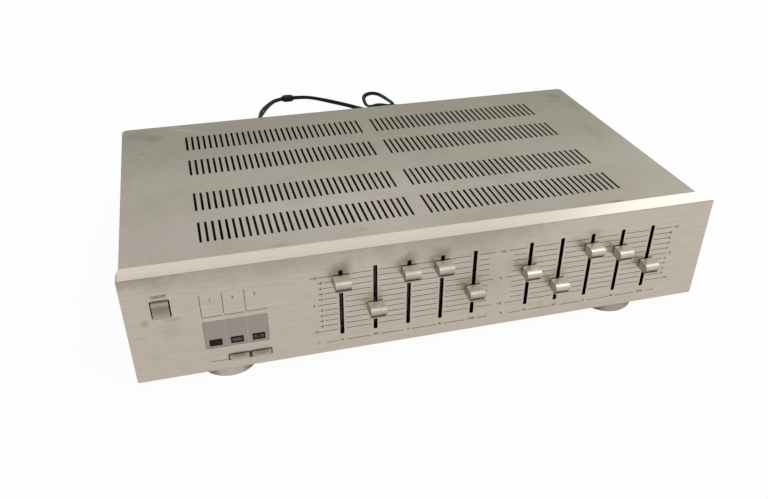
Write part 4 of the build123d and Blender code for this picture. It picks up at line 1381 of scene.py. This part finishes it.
def plug_seat(tail_route):
    """Where a plug starts and the way it points."""
    end = Vector(tail_route[-1])
    return end, (end - Vector(tail_route[-2])).normalized()


PLUG_LENGTH = 38.0  # from the tail to the plug's metal, mm


def make_plug(hand, tail_route, material):
    """A moulded phono plug's body: ringed strain relief, waist and grip rings."""
    start, along = plug_seat(tail_route)
    full = 4.6
    profile = [(0.0, 1.9)]
    for i in range(4):
        near, reach = 1.2 + 2.3 * i, 2.5 + 0.38 * i
        profile += [
            (near, reach), (near + 1.2, reach), (near + 1.3, reach - 0.6), (near + 2.0, reach - 0.6)
        ]
    profile += [(11.0, full - 0.7), (12.0, full), (15.0, full - 0.1), (21.0, full - 0.9)]
    for i in range(4):
        near = 22.0 + 3.2 * i
        profile += [
            (near, full - 0.8), (near + 0.5, full), (near + 1.9, full), (near + 2.4, full - 0.8)
        ]
    profile += [(36.0, full - 0.4), (37.6, full), (PLUG_LENGTH, full - 0.4)]
    bm = bmesh.new()
    loft(bm, turned_rings(profile, start, along, 36))
    return piece_from(bm, f"moulded_plug_{hand}", material, replaced=[f"plug_{hand}"])


def make_contacts(hand, tail_route, material):
    """A plug's metal: a shell slit into four leaves round a round-nosed pin."""
    end, aim = plug_seat(tail_route)
    start = end + aim * PLUG_LENGTH * MM
    along, side, up = axes_about(aim)
    section = ((3.6, -0.5), (4.2, -0.5), (4.2, 6.6), (4.05, 8.0), (3.6, 8.0))
    pin = (
        (-0.5, 1.6), (11.9, 1.6), (12.1, 1.45), (12.5, 1.45),
        (12.7, 1.6), (13.2, 1.45), (13.7, 1.0), (14.0, 0.4),
    )
    bm = bmesh.new()
    for leaf in range(4):
        rings = []
        for i in range(11):
            outward = spoke(side, up, math.radians(90 * leaf + 6 + 78 * i / 10))
            rings.append([start + (outward * reach + along * far) * MM for reach, far in section])
        loft(bm, rings)
    loft(bm, turned_rings(pin, start, aim, 24))
    return piece_from(bm, f"slit_contacts_{hand}", material, replaced=["plug_contacts"])


class EQUALIZER_OT_leads(bpy.types.Operator):
    """Lay the twin lead with its gland, splitter sleeve, tails and plugs"""

    bl_idname = "equalizer.leads"
    bl_label = "Lead, splitter and plugs"

    def execute(self, context):
        sizes = context.scene.equalizer_lead
        finish = context.scene.equalizer_finishes
        vinyl = moulded("black_vinyl", finish.vinyl, 0.5, depth=0.000004, dust=0.0, gloss=0.12)
        line = lead_line()
        bm = bmesh.new()
        sweep_twin(bm, line, sizes)
        lead = piece_from(bm, "twin_lead", vinyl, replaced=["signal_lead"])
        sleeve = make_sleeve(vinyl)
        gland = make_gland(vinyl)
        metal = plated("plug_metal", ink(196, 194, 188), 0.25, (700, 700, 60))
        for hand, tail_route, long in (
            ("left", LEFT_TAIL, sizes.left_length),
            ("right", RIGHT_TAIL, sizes.right_length),
        ):
            tail = spline_curve(f"{hand}_tail", tail_route)
            tail.data.bevel_depth = sizes.tail_d / 2
            tail.data.bevel_resolution = 5
            tail.data.use_fill_caps = True
            tail.data.materials.append(vinyl)
            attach(tail, "chassis")
            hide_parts(f"tail_{hand}")
            plug = make_plug(hand, tail_route, vinyl)
            contacts = make_contacts(hand, tail_route, metal)
        return {"FINISHED"}


# ---- stage ----
WHITE = (1, 1, 1, 1)


def floor_material(studio):
    """Pale floor: white to the eye and in reflections, while it keeps a soft shadow."""
    material = bpy.data.materials.new("studio_floor")
    tree = emptied(material)
    rays = add(tree, "LightPath").outputs
    mirrored = maths(tree, "MAXIMUM", rays["Is Glossy Ray"], rays["Is Transmission Ray"])
    share = scaled(tree, rays["Is Camera Ray"], 0.96, scaled(tree, mirrored, 0.45))
    matt = add(tree, "BsdfDiffuse", {"Color": studio.floor_colour}).outputs[0]
    glow = add(tree, "Emission", {"Color": WHITE, "Strength": 1.0}).outputs[0]
    mixed = add(tree, "MixShader", {0: share, 1: matt, 2: glow})
    add(tree, "OutputMaterial", {"Surface": mixed.outputs[0]})
    return material


def light_world(studio):
    """Even light from all round; eye, mirror and glass rays see a white backdrop."""
    world = bpy.data.worlds.new("studio_world")
    bpy.context.scene.world = world
    tree = emptied(world)
    rays = add(tree, "LightPath").outputs
    seen = maths(tree, "MAXIMUM", rays["Is Camera Ray"], rays["Is Glossy Ray"])
    seen = maths(tree, "MAXIMUM", seen, rays["Is Transmission Ray"])
    even = add(tree, "Background", {"Color": WHITE, "Strength": studio.sky_level}).outputs[0]
    white = add(tree, "Background", {"Color": WHITE, "Strength": 1.0}).outputs[0]
    mixed = add(tree, "MixShader", {0: seen, 1: even, 2: white})
    add(tree, "OutputWorld", {"Surface": mixed.outputs[0]})


LIT_POINT = Vector((0, 0, 0.05))  # what the lamps point at


def soft_lamp(name, radiance, width, height, place):
    """A rectangular soft lamp that isn't seen itself. Its watts follow from its brightness and size."""
    data = bpy.data.lights.new(name, "AREA")
    data.shape = "RECTANGLE"
    data.size = width
    data.size_y = height
    data.energy = radiance * math.pi * width * height
    lamp = bpy.data.objects.new(name, data)
    lamp.location = place
    lamp.rotation_mode = "QUATERNION"
    lamp.rotation_quaternion = (LIT_POINT - lamp.location).to_track_quat("-Z", "Y")
    lamp.visible_camera = False
    bpy.context.scene.collection.objects.link(lamp)


def place_camera(studio):
    """A camera at its stated place, turned by its heading, height and roll."""
    data = bpy.data.cameras.new("camera")
    data.sensor_width = 36
    data.lens = studio.lens
    data.shift_x = studio.shift_x
    data.shift_y = studio.shift_y
    camera = bpy.data.objects.new("camera", data)
    heading, height = studio.camera_azimuth, studio.camera_elevation
    flat = math.cos(height)
    back = Vector((math.sin(heading) * flat, -math.cos(heading) * flat, math.sin(height)))
    right = Vector((0, 0, 1)).cross(back).normalized()
    turned = Matrix((right, back.cross(right), back)).transposed()
    rolled = turned @ Matrix.Rotation(studio.camera_roll, 3, "Z")
    camera.matrix_world = Matrix.Translation(studio.camera_place) @ rolled.to_4x4()
    bpy.context.scene.collection.objects.link(camera)
    bpy.context.scene.camera = camera


def lay_floor(studio):
    """A wide floor just under the feet."""
    floor = bmesh.new()
    bmesh.ops.create_grid(floor, x_segments=8, y_segments=8, size=6)
    mesh = bpy.data.meshes.new("floor")
    floor.to_mesh(mesh)
    floor.free()
    mesh.materials.append(floor_material(studio))
    ground = bpy.data.objects.new("floor", mesh)
    ground.location.z = -0.2 * MM
    bpy.context.scene.collection.objects.link(ground)


class EQUALIZER_OT_stage(bpy.types.Operator):
    """Set up the camera, the pale floor and the soft lamps"""

    bl_idname = "equalizer.stage"
    bl_label = "Camera, floor and lamps"

    def execute(self, context):
        studio = context.scene.equalizer_studio
        context.scene.view_settings.view_transform = "Standard"
        place_camera(studio)
        lay_floor(studio)
        light_world(studio)
        soft_lamp("key_lamp", studio.key_level, 0.8, 0.4, (0.55, -0.75, 1.4))
        soft_lamp("back_lamp", studio.back_level, 1.0, 1.0, (1.6, 1.25, 1.1))
        return {"FINISHED"}


class EQUALIZER_PT_panel(bpy.types.Panel):
    """Lists the operators"""

    bl_label = "Graphic equalizer"
    bl_idname = "EQUALIZER_PT_panel"
    bl_space_type = "VIEW_3D"
    bl_region_type = "UI"
    bl_category = "Equalizer"

    def draw(self, context):
        for operator in OPERATORS:
            self.layout.operator(operator.bl_idname)


SETTINGS = {
    "equalizer_studio": StudioSettings,
    "equalizer_finishes": Finishes,
    "equalizer_print": PrintSizes,
    "equalizer_knobs": KnobSizes,
    "equalizer_lead": LeadSizes,
}
OPERATORS = (
    EQUALIZER_OT_stage,
    EQUALIZER_OT_leads,
    EQUALIZER_OT_front,
    EQUALIZER_OT_knobs,
    EQUALIZER_OT_buttons,
    EQUALIZER_OT_window,
    EQUALIZER_OT_feet,
    EQUALIZER_OT_case,
    EQUALIZER_OT_inside,
    EQUALIZER_OT_fittings,
)
CLASSES = (*SETTINGS.values(), *OPERATORS, EQUALIZER_PT_panel)


def register():
    for kind in CLASSES:
        bpy.utils.register_class(kind)
    for name, kind in SETTINGS.items():
        setattr(bpy.types.Scene, name, PointerProperty(type=kind))


def unregister():
    for name in SETTINGS:
        delattr(bpy.types.Scene, name)
    for kind in reversed(CLASSES):
        bpy.utils.unregister_class(kind)


def main():
    register()
    bpy.ops.equalizer.stage()
    bpy.ops.equalizer.leads()
    bpy.ops.equalizer.front()
    bpy.ops.equalizer.knobs()
    bpy.ops.equalizer.buttons()
    bpy.ops.equalizer.window()
    bpy.ops.equalizer.feet()
    bpy.ops.equalizer.case()
    bpy.ops.equalizer.inside()
    bpy.ops.equalizer.fittings()


if __name__ == "__main__":
    main()
